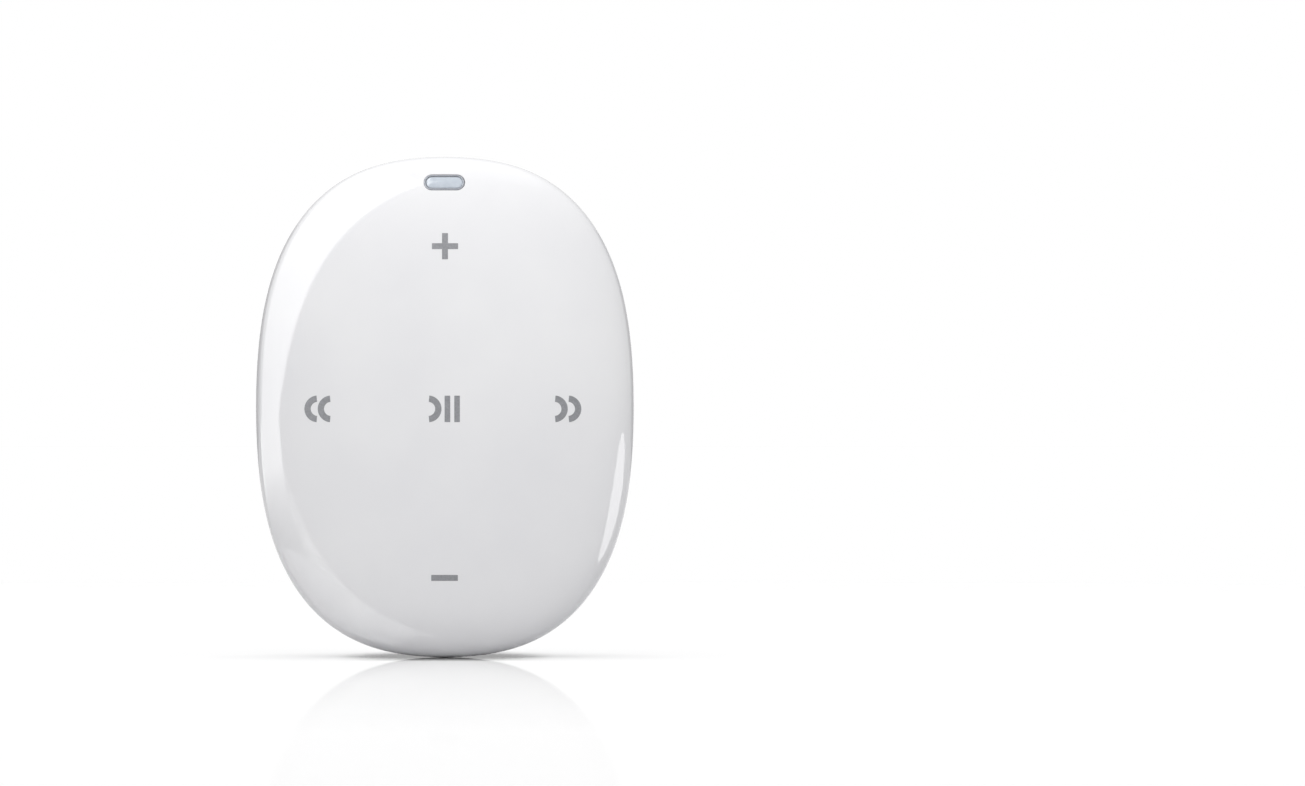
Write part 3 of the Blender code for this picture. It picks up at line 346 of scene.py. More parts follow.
def trumpet(radius, depth, flare, steps=64):
    """A cutter for an opening with a rounded lip: a shaft that opens out to the surface at Z = 0."""
    lip = arc((radius + flare, -flare), flare, 180, 115, 5)
    (r1, z1), (r2, z2) = lip[-2:]
    beyond = (r2 + 12 * (r2 - r1), z2 + 12 * (z2 - z1))
    return turned([(0, -depth), (radius, -depth), *lip, beyond, (beyond[0], 1.5 * MM), (0, 1.5 * MM)], steps)


def piece(name, bm, body, look, slot, *stands_for, smooth=35.0):
    """A finished piece of the player on one of its bodies."""
    obj = mesh_object(name, bm)
    obj.data.materials.append(look)
    obj.data.shade_smooth()
    obj.data.set_sharp_from_angle(angle=math.radians(smooth))
    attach(obj, body)
    if stands_for:
        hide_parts(*stands_for)
    return obj


# Materials


def linear(colour):
    """An sRGB hex colour as linear light."""
    channels = [int(colour[i : i + 2], 16) / 255 for i in (0, 2, 4)]
    return [c / 12.92 if c <= 0.04045 else ((c + 0.055) / 1.055) ** 2.4 for c in channels] + [1.0]


WHITE = linear("FFFFFF")


def per_mm(size):
    """The texture scale that repeats a pattern at that size in millimetres."""
    return 1 / (size * MM)


def add(tree, kind, inputs=None, **settings):
    """Adds a shader node with its settings, and fills or links its inputs."""
    node = tree.nodes.new(f"ShaderNode{kind}")
    for name, value in settings.items():
        setattr(node, name, value)
    for name, value in (inputs or {}).items():
        if isinstance(value, bpy.types.NodeSocket):
            tree.links.new(value, node.inputs[name])
        else:
            node.inputs[name].default_value = value
    return node


def ramp(tree, fac, *stops):
    """Colours spread over a factor, each stop a place and an sRGB hex colour."""
    node = add(tree, "ValToRGB", {"Fac": fac})
    elements = node.color_ramp.elements
    while len(elements) < len(stops):
        elements.new(0.5)
    for element, (place, colour) in zip(elements, stops):
        element.position, element.color = place, linear(colour)
    return node.outputs["Color"]


def finish(name, **sockets):
    """A new material, its node tree, its shader with these sockets and its Object coordinates."""
    material = bpy.data.materials.new(name)
    material.use_nodes = True
    tree = material.node_tree
    shader = tree.nodes["Principled BSDF"]
    for socket, value in sockets.items():
        shader.inputs[socket.replace("_", " ")].default_value = value
    place = add(tree, "TexCoord").outputs["Object"]
    return material, tree, shader, place


def spread(tree, value, start, end, low=0.0, high=1.0, **settings):
    """A value that runs between two ends, as one that runs between two others."""
    ends = {"From Min": start, "From Max": end, "To Min": low, "To Max": high}
    return add(tree, "MapRange", {"Value": value, **ends}, **settings).outputs[0]


def noise(tree, place, size, detail=2.0):
    """Soft clouds of that size in millimetres."""
    inputs = {"Vector": place, "Scale": per_mm(size), "Detail": detail}
    return add(tree, "TexNoise", inputs).outputs["Fac"]


def coloured(tree, shader, fac, *stops):
    tree.links.new(ramp(tree, fac, *stops), shader.inputs["Base Color"])


def roughness_between(tree, shader, fac, low, high):
    tree.links.new(spread(tree, fac, 0.0, 1.0, low, high), shader.inputs["Roughness"])


def bumped(tree, shader, height, depth_mm):
    bump = add(tree, "Bump", {"Height": height, "Strength": 1.0, "Distance": depth_mm * MM})
    tree.links.new(bump.outputs["Normal"], shader.inputs["Normal"])


def patterned(name, texture, size, colours, roughness, depth_mm, inputs=None, settings=None, **sockets):
    """A finish whose one pattern, of a size in millimetres, drives its colour, roughness and relief."""
    material, tree, shader, place = finish(name, **sockets)
    inputs = {"Vector": place, "Scale": per_mm(size), **(inputs or {})}
    pattern = add(tree, f"Tex{texture}", inputs, **(settings or {}))
    fac = pattern.outputs["Distance" if texture == "Voronoi" else "Fac"]
    coloured(tree, shader, fac, *colours)
    roughness_between(tree, shader, fac, *roughness)
    bumped(tree, shader, fac, depth_mm)
    return material


def gloss_abs():
    """Moulded gloss ABS: mirror-like reflections with a slow waviness, and a trace of flow in the white."""
    material, tree, shader, place = finish("moulded_gloss_abs_white", IOR=1.54)
    coloured(tree, shader, noise(tree, place, 14, 3.0), (0.3, "E9E9EB"), (0.7, "EFEFF0"))
    roughness_between(tree, shader, noise(tree, place, 3, 4.0), 0.05, 0.10)
    bumped(tree, shader, noise(tree, place, 1.6, 1.0), 0.0008)
    return material


def knob_acetal():
    """Moulded acetal: a slightly greyer white with a waxy shine, from its fine spark-eroded mould."""
    material, tree, shader, place = finish("moulded_acetal_white", IOR=1.48)
    wax = noise(tree, place, 2, 3.0)
    coloured(tree, shader, wax, (0.3, "E2E2E5"), (0.7, "E9E9EB"))
    roughness_between(tree, shader, wax, 0.16, 0.24)
    bumped(tree, shader, noise(tree, place, 0.12), 0.0006)
    return material


def pearl_paint():
    """Satin pearl paint on the clip: fine mica flakes under a satin coat give a broad silvery sheen.

    The rounded edge is painted lighter, a painted highlight for the rim's shine, and so is the arm below it.
    The flakes are 0.03 mm; they are drawn at 0.14 mm so that they show in the picture.
    """
    coat = {"Metallic": 0.15, "Coat_Weight": 0.25, "Coat_Roughness": 0.25}
    material, tree, shader, place = finish("satin_pearl_paint", **coat)
    flakes = add(tree, "TexVoronoi", {"Vector": place, "Scale": per_mm(0.14)}).outputs["Color"]
    tone = add(tree, "SeparateColor", {"Color": flakes}).outputs["Red"]
    silver = ramp(tree, tone, (0.0, "B0B1B3"), (1.0, "B6B7B9"))
    height = add(tree, "SeparateXYZ", {0: place}).outputs["Y"]
    # Silver above this height; below it, on the rounded edge and the arm, a lighter grey painted as the rim's
    # highlight
    edge = spread(tree, height, 4.625 * MM, 4.464 * MM)
    painted_rim_mix = {"Fac": edge, "Color1": silver, "Color2": linear("D4D4D6")}
    tree.links.new(add(tree, "MixRGB", painted_rim_mix).outputs[0], shader.inputs["Base Color"])
    roughness_between(tree, shader, noise(tree, place, 2.5, 4.0), 0.30, 0.38)
    bumped(tree, shader, tone, 0.0003)
    return material


def lens_polycarbonate():
    """Diffusing polycarbonate: pale blue, milky in its depth, with a polished face."""
    clear = {"IOR": 1.58, "Transmission_Weight": 0.15, "Roughness": 0.08}
    material, tree, shader, place = finish("diffusing_polycarbonate_blue", **clear)
    milk = noise(tree, place, 0.5, 3.0)
    coloured(tree, shader, milk, (0.3, "C6CFDA"), (0.7, "D1D9E3"))
    bumped(tree, shader, milk, 0.002)
    return material


def print_ink(name, dark, light):
    """Pad-printed ink: an even matt film, a touch thinner in specks where the pad lifted."""
    tones = ((0.35, dark), (0.75, light))
    return patterned(name, "Noise", 0.22, tones, (0.35, 0.5), 0.0015, {"Detail": 3.0}, IOR=1.5)


def turned_metal(name, dark, light, low, high, spacing, direction):
    """Plated or drawn metal: bright, with fine lines that run round or along the piece from its making."""
    tones, lines = ((0.2, dark), (0.8, light)), {"Distortion": 1.2, "Detail": 3.0, "Detail Scale": 2.0}
    run = {"bands_direction": direction}
    return patterned(name, "Wave", 6.28 * spacing, tones, (low, high), 0.0008, lines, run, Metallic=1.0)


def moulded(name, dark, light, low, high, grain):
    """Moulded plastic or rubber with an even spark-eroded grain, which makes it satin to matt."""
    tones = ((0.3, dark), (0.7, light))
    return patterned(name, "Noise", grain, tones, (low, high), 0.004, {"Detail": 3.0}, IOR=1.5)


SHELL = gloss_abs()
KNOB = knob_acetal()
CLIP = pearl_paint()
LENS = lens_polycarbonate()
# Sprayed metallic grey lacquer on the window's ring: a dark satin with a fine grain
LACQUER = ((0.3, "7E8187"), (0.7, "8F9298"))
BEZEL = patterned("sprayed_grey_lacquer", "Noise", 0.1, LACQUER, (0.28, 0.4), 0.002, Metallic=0.4)
INK = print_ink("pad_print_grey", "87888B", "95969A")
FAINT_INK = print_ink("pad_print_pale_grey", "A9AAAF", "B6B7BB")
COLLAR = turned_metal("black_nickel_plated_brass", "77777D", "8E8E94", 0.2, 0.28, 0.12, "Z")
SPRING = turned_metal("drawn_spring_steel", "A6A8AC", "C0C2C6", 0.2, 0.3, 0.08, "X")
SHEET = turned_metal("rolled_steel_sheet", "B7B9BC", "CBCDD0", 0.24, 0.34, 0.2, "X")
CONTACT = turned_metal("gold_plated_contact", "B8924A", "D9B56A", 0.2, 0.3, 0.1, "Z")
SOCKET = moulded("moulded_pbt_black", "101012", "1A1A1D", 0.3, 0.42, 0.15)
SWITCH = moulded("moulded_nylon_black", "17171A", "222225", 0.4, 0.55, 0.12)
CHIP = moulded("epoxy_package_black", "151517", "202023", 0.5, 0.62, 0.1)
FRAME = moulded("moulded_polycarbonate_grey", "BFBFC3", "CCCCD0", 0.4, 0.5, 0.2)
LEVER = moulded("moulded_acetal_grey", "AFB0B3", "BDBEC1", 0.35, 0.45, 0.15)
SILICONE = moulded("cast_silicone_grey", "BCBEC2", "CACCCF", 0.55, 0.7, 0.3)
PHOSPHOR = moulded("cast_led_phosphor", "E9E6CE", "F4F2DE", 0.3, 0.4, 0.2)
# Green solder mask over copper: glossy, and a lighter green where a track runs under it
MASK, GLOSS = ((0.0, "1C5437"), (1.0, "2E7550")), {"IOR": 1.55, "Coat_Weight": 0.4}
TRACKS = {"Mortar Size": 0.12, "Brick Width": 2.4, "Row Height": 0.5}
BOARD = patterned("green_solder_mask", "Brick", 1.0, MASK, (0.25, 0.4), 0.015, TRACKS, **GLOSS)
# Aluminium laminate pouch: dull silver with soft creases pressed in when the cell was sealed
POUCH, SOFT = ((0.1, "A9ACB1"), (0.8, "C3C6CB")), {"feature": "SMOOTH_F1"}
FOIL = patterned("aluminium_laminate_foil", "Voronoi", 4.0, POUCH, (0.28, 0.42), 0.05, {}, SOFT, Metallic=0.8)
# Open-cell polyurethane foam: dark, dead matt and pitted by its cells
CELLS = ((0.0, "2E2F32"), (0.6, "56585C"))
FOAM = patterned("open_cell_foam_grey", "Voronoi", 0.35, CELLS, (0.85, 0.98), 0.12, IOR=1.45)


# Front cover, its window and its printed marks


def crown_profile(half_width, rim, rise, share_of, power, steps, least):
    """Points (radius, height) from the middle of a cover to where it stands that much over its rim."""
    points = []
    for step in range(steps + 1):
        bend = math.pi / 2 * (1 - (1 - step / steps) ** 1.5)
        height = rise * math.cos(bend) ** (2 / power)
        if height > least:
            points.append((half_width * share_of(math.sin(bend) ** 2), rim + height))
    return points


def front_share(beyond):
    return math.sqrt((math.sqrt(1 + 8 * beyond) - 1) / 2)


def back_share(beyond):
    return beyond ** (1 / BACK_FLATNESS)


def cover(half, rim, rise, share_of, power, wall):
    """A cover with an even wall and a rounded rim."""
    outer = crown_profile(half[0], rim, rise, share_of, power, CROWN_STEPS, LIP)
    lip = arc((half[0] - LIP, rim + LIP), LIP, 0, -90, 6)
    inner = crown_profile(half[0] - wall, rim, rise - wall, share_of, power, INNER_STEPS, 0.4 * MM)
    return to_pebble(turned(outer + lip + [(half[0] - wall, rim)] + inner[::-1], COVER_STEPS), half)


def window_frame():
    """On the front cover's surface at the indicator, with Y up the slope and Z out of the cover."""
    y, step = WINDOW_Y, 0.01 * MM
    slope = (front_height(0, y + step) - front_height(0, y - step)) / (2 * step)
    out = Vector((0, -slope, 1)).normalized()
    right = Vector((1, 0, 0))
    return FRONT @ frame_of(right, out.cross(right), out, (0, y, front_height(0, y)))


WINDOW = window_frame()


def make_front():
    posts = []
    for x, y in mm(*KEYS):
        root = front_height(x, y) - POST_SINK
        tip = [(0, POST_TIP), (POST_RADIUS - POST_EDGE, POST_TIP), (POST_RADIUS, POST_TIP + POST_EDGE)]
        post = turned(tip + [(POST_RADIUS, root), (0, root)], steps=24)
        posts.append(("UNION", placed(post, FRONT @ Matrix.Translation((x, y, 0)))))
    hole = to_slot(trumpet(WINDOW_SIZE[1] / 2, 3.1 * MM, 0.05 * MM), *WINDOW_SIZE)
    shell = placed(cover(FRONT_HALF, FRONT_RIM, FRONT_RISE, front_share, FRONT_POWER, FRONT_WALL), FRONT)
    shell = worked(shell, *posts, ("DIFFERENCE", placed(hole, WINDOW)))
    piece("front_shell", shell, "cover", SHELL, "shell_white", "front_cover", smooth=20.0)

    outside, inside = arc((0.84, -0.11), 0.08, 0, 90, 4), arc((0.74, -0.09), 0.06, 90, 180, 4)
    ring = mm((0.92, -0.9), *outside, *inside, (0.68, -0.9))
    bezel = placed(to_slot(turned(ring), *BEZEL_SIZE), WINDOW)
    piece("indicator_bezel", bezel, "cover", BEZEL, "bezel_grey", "led_bezel")
    dome = mm((0, -1.9), (0.67, -1.9), *arc((0.52, -0.2), 0.15, 0, 75, 5), (0.2, -0.02), (0, 0))
    lens = placed(to_slot(turned(dome), *LENS_SIZE), WINDOW)
    piece("indicator_lens", lens, "cover", LENS, "lens_blue", "led_lens")


# Printing


def bar(width, height):
    bm = bmesh.new()
    bmesh.ops.create_grid(bm, x_segments=1, y_segments=1, size=0.5)
    return placed(bm, Matrix.Diagonal((width, height, 1, 1)))


def ring_part(inner, outer, start, sweep):
    """A part of a flat ring, spun from an edge between its two radii."""
    bm = bmesh.new()
    a = math.radians(start)
    ends = [bm.verts.new((r * math.cos(a), r * math.sin(a), 0)) for r in (inner, outer)]
    edge = bm.edges.new(ends)
    turned_by = math.radians(sweep)
    bmesh.ops.spin(bm, geom=[*ends, edge], cent=(0, 0, 0), axis=(0, 0, 1), angle=turned_by, steps=24)
    return bm


def ribbon(points, width):
    """A flat stroke along a line of points, drawn out edge by edge."""
    bm = bmesh.new()
    sides = []
    for i, point in enumerate(points):
        before, after = Vector(points[max(i - 1, 0)]), Vector(points[min(i + 1, len(points) - 1)])
        ahead = (after - before).normalized()
        across = Vector((-ahead.y, ahead.x)) * width / 2
        sides.append([(Vector(point) + s * across).to_3d() for s in (1, -1)])
    edge = bm.edges.new([bm.verts.new(p) for p in sides[0]])
    for last, pair in zip(sides, sides[1:]):
        drawn = bmesh.ops.extrude_edge_only(bm, edges=[edge])["geom"]
        fresh = verts_of(drawn)
        edge = next(e for e in edges_of(drawn) if set(e.verts) == set(fresh))
        old = {v: next(e.other_vert(v) for e in v.link_edges if e.other_vert(v) not in fresh) for v in fresh}
        fresh.sort(key=lambda v: (old[v].co - last[0]).length)
        for vert, place in zip(fresh, pair):
            vert.co = place
    return bm


def fitted(bm, width, height):
    """Brings a flat shape to that width and height, its middle at the origin."""
    low = Vector([min(v.co[k] for v in bm.verts) for k in range(3)])
    high = Vector([max(v.co[k] for v in bm.verts) for k in range(3)])
    size = Matrix.Diagonal((width / (high.x - low.x), height / (high.y - low.y), 1, 1))
    return placed(bm, size @ Matrix.Translation(-(low + high) / 2))


def triangle(width, height):
    """A flat arrowhead that points up."""
    bm = bmesh.new()
    bmesh.ops.create_circle(bm, cap_ends=True, segments=3, radius=1.0)
    return fitted(bm, width, height)


def dot(radius):
    bm = bmesh.new()
    bmesh.ops.create_circle(bm, cap_ends=True, segments=64 if radius > 5 * MM else 12, radius=radius)
    return bm


def lettering(words, length, height):
    """A word as a flat shape of that length and height."""
    font = bpy.data.curves.new("lettering", "FONT")
    font.body, font.resolution_u, font.fill_mode = words, 6, "BOTH"
    font.offset, font.space_character = 0.022, 1.16
    mesh = bpy.data.meshes.new_from_object(new_object("lettering", font))
    bm = bmesh.new()
    bm.from_mesh(mesh)
    bpy.data.curves.remove(font)
    bpy.data.meshes.remove(mesh)
    bmesh.ops.remove_doubles(bm, verts=bm.verts[:], dist=1e-5)
    return fitted(bm, length, height)


def turn(degrees):
    return Matrix.Rotation(math.radians(degrees), 4, "Z")


def at(x, y, z=0.0):
    return Matrix.Translation((x * MM, y * MM, z * MM))


def joined(*shapes):
    """Several flat shapes as one, each a pair of shape and matrix."""
    whole = bmesh.new()
    for bm, matrix in shapes:
        mesh = bpy.data.meshes.new("shape")
        placed(bm, matrix).to_mesh(mesh)
        bm.free()
        whole.from_mesh(mesh)
        bpy.data.meshes.remove(mesh)
    return whole


def printed(name, flat, height, view, body, look):
    """Ink on a cover: a flat shape is cut into strips, given the ink's thickness and laid on the surface."""
    for axis in (Vector((1, 0, 0)), Vector((0, 1, 0))):
        reach = [v.co.dot(axis) for v in flat.verts]
        first, last = math.floor(min(reach) / INK_STRIP) + 1, math.ceil(max(reach) / INK_STRIP)
        for step in range(first, last):
            geom, cut = flat.verts[:] + flat.edges[:] + flat.faces[:], axis * step * INK_STRIP
            bmesh.ops.bisect_plane(flat, geom=geom, dist=WELD, plane_co=cut, plane_no=axis)
    for face in flat.faces:
        face.normal_update()
        if face.normal.z < 0:
            face.normal_flip()
    bmesh.ops.translate(flat, vec=(0, 0, -INK_ROOT), verts=flat.verts[:])
    drawn = bmesh.ops.extrude_face_region(flat, geom=flat.faces[:], use_keep_orig=True)["geom"]
    bmesh.ops.translate(flat, vec=(0, 0, INK_ROOT + INK_HEIGHT), verts=verts_of(drawn))
    bmesh.ops.recalc_face_normals(flat, faces=flat.faces[:])
    piece(name, placed(draped(flat, height), view), body, look, "bezel_grey")


def arch(start):
    """The bow of an arrow mark, from a start angle in degrees."""
    return ring_part(0.78 * MM, 1.48 * MM, start, 170)


def make_front_marks():
    cross = bmesh.new()
    bmesh.ops.create_grid(cross, x_segments=3, y_segments=3, size=1.45 * MM)
    for vert in cross.verts:
        for k in (0, 1):
            if abs(vert.co[k]) < 1.0 * MM:
                vert.co[k] = math.copysign(MARK_STROKE / 2, vert.co[k])
    corners = [f for f in cross.faces if min(abs(f.calc_center_median()[k]) for k in (0, 1)) > MARK_STROKE]
    bmesh.ops.delete(cross, geom=corners, context="FACES")
    to_left, to_right, row = 95, -85, -0.2
    bars = [(bar(0.62 * MM, 2.92 * MM), at(x, row)) for x in (0.38, 1.45)]
    marks = {
        "mark_volume_up": [(cross, at(0.1, 17.8))],
        "mark_volume_down": [(bar(2.95 * MM, MARK_STROKE), at(0.05, -18.9))],
        "mark_back": [(arch(to_left), at(x, row)) for x in (-13.98, -12.5)],
        "mark_forward": [(arch(to_right), at(x, row)) for x in (12.2, 13.7)],
        "mark_play": [(arch(to_right), at(-1.75, row)), *bars],
    }
    for name, shapes in marks.items():
        printed(name, joined(*shapes), front_height, FRONT, "cover", INK)


# Back cover, sliders and their labels


def slot_frame(name):
    """On the back cover at a slot's middle, with X along the slot and Z out of the cover."""
    middle, along, out = (Vector(v) for v in SWITCHES[name][:3])
    return frame_of(along, out.cross(along), out, middle * MM)


def mouth_frame(name):
    """The frame of a slot's mouth and thumb, a little outward of the skirt's middle."""
    matrix = slot_frame(name)
    return matrix @ Matrix.Translation((0, math.copysign(SLOT_ASIDE, matrix.translation.x), 0))


def travel_of(name):
    return SWITCHES[name][3] - KNOB_LENGTH - KNOB_PLAY


def skirt_length(name):
    """Long enough to close the slot at both ends of the knob's travel."""
    return SWITCHES[name][3] + travel_of(name) + SKIRT_LAP


def slot_plate(length, width, foot, top, edge=0.0, middle=0.0):
    """A flat slot-shaped plate between two heights, with rounded upper and lower edges."""
    radius = width / 2
    sides = [(radius, foot), (radius, top)]
    if edge:
        sides = arc((radius - edge, foot + edge), edge, -90, 0, 3)
        sides += arc((radius - edge, top - edge), edge, 0, 90, 3)
    return to_slot(turned([(0, foot), *sides, (0, top)]), length, width, middle)


def squared(bm):
    """Fills out the rear half of a turned shape to a rounded square, as the top opening shows."""
    for vert in bm.verts:
        if vert.co.y > 0:
            x, y = abs(vert.co.x), vert.co.y
            fuller = math.hypot(x, y) / (x**OPENING_POWER + y**OPENING_POWER) ** (1 / OPENING_POWER)
            vert.co.x, vert.co.y = vert.co.x * fuller, y * fuller
    return bm


def make_back():
    steps = []
    for name in SWITCHES:
        pad = slot_plate(SWITCHES[name][3] + SKIRT_LAP, SKIRT_WIDTH, -1.8 * MM, -0.9 * MM)
        steps.append(("UNION", placed(pad, slot_frame(name))))
    for name in SWITCHES:
        room = skirt_length(name) + travel_of(name) + SKIRT_ROOM
        pocket = slot_plate(room, SKIRT_WIDTH + SKIRT_ROOM, -3.45 * MM, -SLOT_FLOOR)
        steps.append(("DIFFERENCE", placed(pocket, slot_frame(name))))
    for name in SWITCHES:
        matrix = mouth_frame(name)
        mouth = to_slot(trumpet(SLOT_WIDTH / 2, 3.0 * MM, 0.22 * MM), SWITCHES[name][3], SLOT_WIDTH)
        steps.append(("DIFFERENCE", placed(draped(mouth, over_back(matrix)), matrix)))
    top = Matrix.Translation(JACK)
    opening = draped(squared(trumpet(OPENING_RADIUS, 6.0 * MM, 0.16 * MM)), over_back(top))
    steps.append(("DIFFERENCE", placed(opening, top)))
    foot = frame_of((1, 0, 0), (0, -1, 0), (0, 0, -1), (0, PINHOLE_Y, PINHOLE_Z))
    pinhole = draped(trumpet(PINHOLE_RADIUS, 2.6 * MM, 0.12 * MM, steps=32), over_back(foot))
    steps.append(("DIFFERENCE", placed(pinhole, foot)))
    steps += [("UNION", ear) for ear in hinge_lugs(EAR_SPAN, EAR_ROOT, 1)]
    steps.append(("DIFFERENCE", hinge_rod(PIN_HOLE_RADIUS, PIN_HOLE_HALF)))
    shell = placed(cover(BACK_HALF, BACK_RIM, BACK_RISE, back_share, BACK_POWER, BACK_WALL), BACK)
    piece("back_shell", worked(shell, *steps), "housing", SHELL, "shell_white", "back_cover", smooth=20.0)


def hinge_lugs(span, root, side):
    """The two lugs round the hinge pin, that far out to the left and right."""
    return [lug([hand * x for x in span], root, (HINGE_Y, HINGE_Z), LUG_RADIUS, side) for hand in (-1, 1)]


def hinge_rod(radius, half, edge=0.0):
    """A round bar along the hinge's axis, with its ends broken by the edge."""
    ends = [(radius, -half), (radius, half)]
    if edge:
        ends = [(radius - edge, -half), (radius, edge - half), (radius, half - edge), (radius - edge, half)]
    rod = turned([(0, -half), *ends, (0, half)], steps=32)
    return placed(rod, Matrix.Translation((0, HINGE_Y, HINGE_Z)) @ Matrix.Rotation(math.pi / 2, 4, "Y"))


def make_slider(name):
    """A bean-shaped thumb on a skirt that fills its slot, with the fork that works the switch."""
    matrix, rest = slot_frame(name), -travel_of(name) / 2
    side, middle = KNOB_WIDTH / 2, (SKIRT_TOP + SKIRT_FOOT) / 2
    crown = [(0, KNOB_PROUD + KNOB_CROWN), (0.35 * MM, KNOB_PROUD + 0.8 * KNOB_CROWN)]
    rounding = arc((side - KNOB_ROUND, KNOB_PROUD - KNOB_ROUND), KNOB_ROUND, 84, 0, 9)
    thumb = to_slot(turned(crown + rounding + [(side, middle), (0, middle)]), KNOB_LENGTH, KNOB_WIDTH, rest)
    skirt = slot_plate(skirt_length(name), SKIRT_WIDTH, SKIRT_FOOT, SKIRT_TOP, 0.08 * MM, rest)

    # The fork stands square to the board, inward of the slot, and roots in the middle of the skirt
    along, over, out = (matrix.col[k].xyz for k in range(3))
    hand = math.copysign(1, matrix.translation.x)
    across = Vector((0, 1, 0)).cross(along)
    outward = hand * across
    foot = Vector((matrix.translation.x, 0, matrix.translation.z)) - FORK_INWARD * outward
    seat = frame_of(across, (0, 1, 0), along, foot)
    fork_across = (-FORK_INWARD - middle * out.dot(outward)) / over.dot(outward)
    fork_top = (matrix @ Vector((rest, fork_across, middle))).y
    prongs = []
    for end in (-1, 1):
        near = rest + end * FORK_GAP
        low, high = sorted((near, near + end * FORK_THICKNESS))
        prong = block((-FORK_HALF_WIDTH, FORK_FOOT, low), (FORK_HALF_WIDTH, fork_top, high))
        prongs.append(("UNION", placed(prong, seat)))
    whole = worked(placed(skirt, matrix), ("UNION", placed(thumb, mouth_frame(name))), *prongs)
    piece(f"{name}_thumb", whole, f"{name}_slider", KNOB, "knob_white", f"{name}_knob")


def make_back_labels():
    rows = {6.411: (-16.089, -15.3), 5.689: (-15.3,), 4.933: (-16.911, -16.122, -15.3), 4.2: (-16.122, -15.3)}
    power = [(dot(0.2 * MM), at(x, y)) for y, row in rows.items() for x in row]
    power.append((lettering("ON", 2.8 * MM, LABEL_HEIGHT), at(-15.878, -0.278) @ turn(90)))
    power.append((lettering("OFF", 3.65 * MM, LABEL_HEIGHT), at(-15.878, -6.133) @ turn(90)))

    repeat, shuffle = at(15.467, 10.978) @ turn(7), at(16.2, 5.778) @ turn(8)
    loop = mm((0.8, 0.63), (0.8, 0.96), (0.68, 1.08), (-0.68, 1.08), (-0.8, 0.96), (-0.8, 0.3))
    rise = mm((0.75, -1.2), (0.74, -1.0), (0.64, -0.8), (0.4, -0.55), (0.15, -0.32))
    swing = rise + mm((-0.1, -0.1), (-0.35, 0.12), (-0.6, 0.4), (-0.72, 0.62), (-0.74, 0.8))
    mirrored = [(-x, y) for x, y in swing]
    mode = []
    for spin in (turn(0), turn(180)):
        mode.append((ribbon(loop, LABEL_STROKE), repeat @ spin))
        mode.append((triangle(0.88 * MM, 0.74 * MM), repeat @ spin @ at(-0.8, 0.2) @ turn(180)))
    for stroke in (swing, mirrored[:4], mirrored[6:]):
        mode.append((ribbon(stroke, LABEL_STROKE), shuffle))
    for x in (-0.74, 0.74):
        mode.append((triangle(0.88 * MM, 0.78 * MM), shuffle @ at(x, 0.92)))

    hold = [
        (lettering("HOLD", 4.9 * MM, LABEL_HEIGHT), at(15.956, -9.111) @ turn(82)),
        (triangle(1.25 * MM, 1.15 * MM), at(16.4, -5.667) @ turn(-8)),
    ]
    reset = [(lettering("RESET", 3.3 * MM, 0.5 * MM), at(0.111, -26.333))]
    labels = (("power", power, INK), ("mode", mode, INK), ("hold", hold, INK), ("reset", reset, FAINT_INK))
    for name, shapes, ink in labels:
        printed(f"label_{name}", joined(*shapes), back_height, BACK, "housing", ink)


# Headphone socket


def sloping(bm, root_z):
    """Leans a turned ring with the body, which falls away to the back. Below the root it stays as it is."""
    for vert in bm.verts:
        if vert.co.z > root_z:
            vert.co.z += JACK_SLOPE * vert.co.y
    return bm


def make_socket():
    place = Matrix.Translation(JACK)
    inside, outside = arc((2.02, -0.12), 0.12, 180, 90, 4), arc((2.15, -0.1), 0.1, 90, 0, 4)
    ring = mm((1.9, -0.62), *inside, *outside, (2.25, -0.62))
    collar = placed(sloping(squared(turned(ring, steps=96)), -9 * MM), place)
    piece("socket_collar", collar, "housing", COLLAR, "collar_metal", "jack_collar")

    housing = block((-2.5 * MM, -6.45 * MM, 9.35 * MM), (3.5 * MM, -2.05 * MM, 19.35 * MM), 0.2 * MM)
    root, top = -7.1 * MM, -0.68 * MM
    nose = turned([(0, root), (NOSE_RADIUS, root), (NOSE_RADIUS, top), (0, top)])
    bore = turned([(0, -BORE_DEPTH), (BORE_RADIUS, -BORE_DEPTH), (BORE_RADIUS, 1.0 * MM), (0, 1.0 * MM)])
    nose = placed(sloping(squared(nose), -6 * MM), place)
    body = worked(housing, ("UNION", nose), ("DIFFERENCE", placed(bore, place)))
    piece("socket_body", body, "housing", SOCKET, "socket_black", "headphone_jack")
    for number, (depth, angle) in enumerate(((3.4, 205), (6.8, 335), (10.2, 90)), start=1):
        leaf = block((1.5 * MM, -0.5 * MM, -0.9 * MM), (1.86 * MM, 0.5 * MM, 0.9 * MM), 0.14 * MM, 3)
        leaf = placed(leaf, place @ at(0, 0, -depth) @ turn(angle))
        piece(f"socket_contact_{number}", leaf, "housing", CONTACT, "collar_metal")


# Clip


def clip_shape(profile, steps=160):
    """A turned profile on the clip's outline, seen from the back."""
    bm = to_pebble(turned(profile, steps), CLIP_HALF, CLIP_FULL, even_rim=True)
    for vert in bm.verts:
        if vert.co.y > 0:
            vert.co.y *= 1 - CLIP_DROP / CLIP_HALF[1]
    return placed(bm, BACK @ Matrix.Translation((0, CLIP_RISE, 0)))


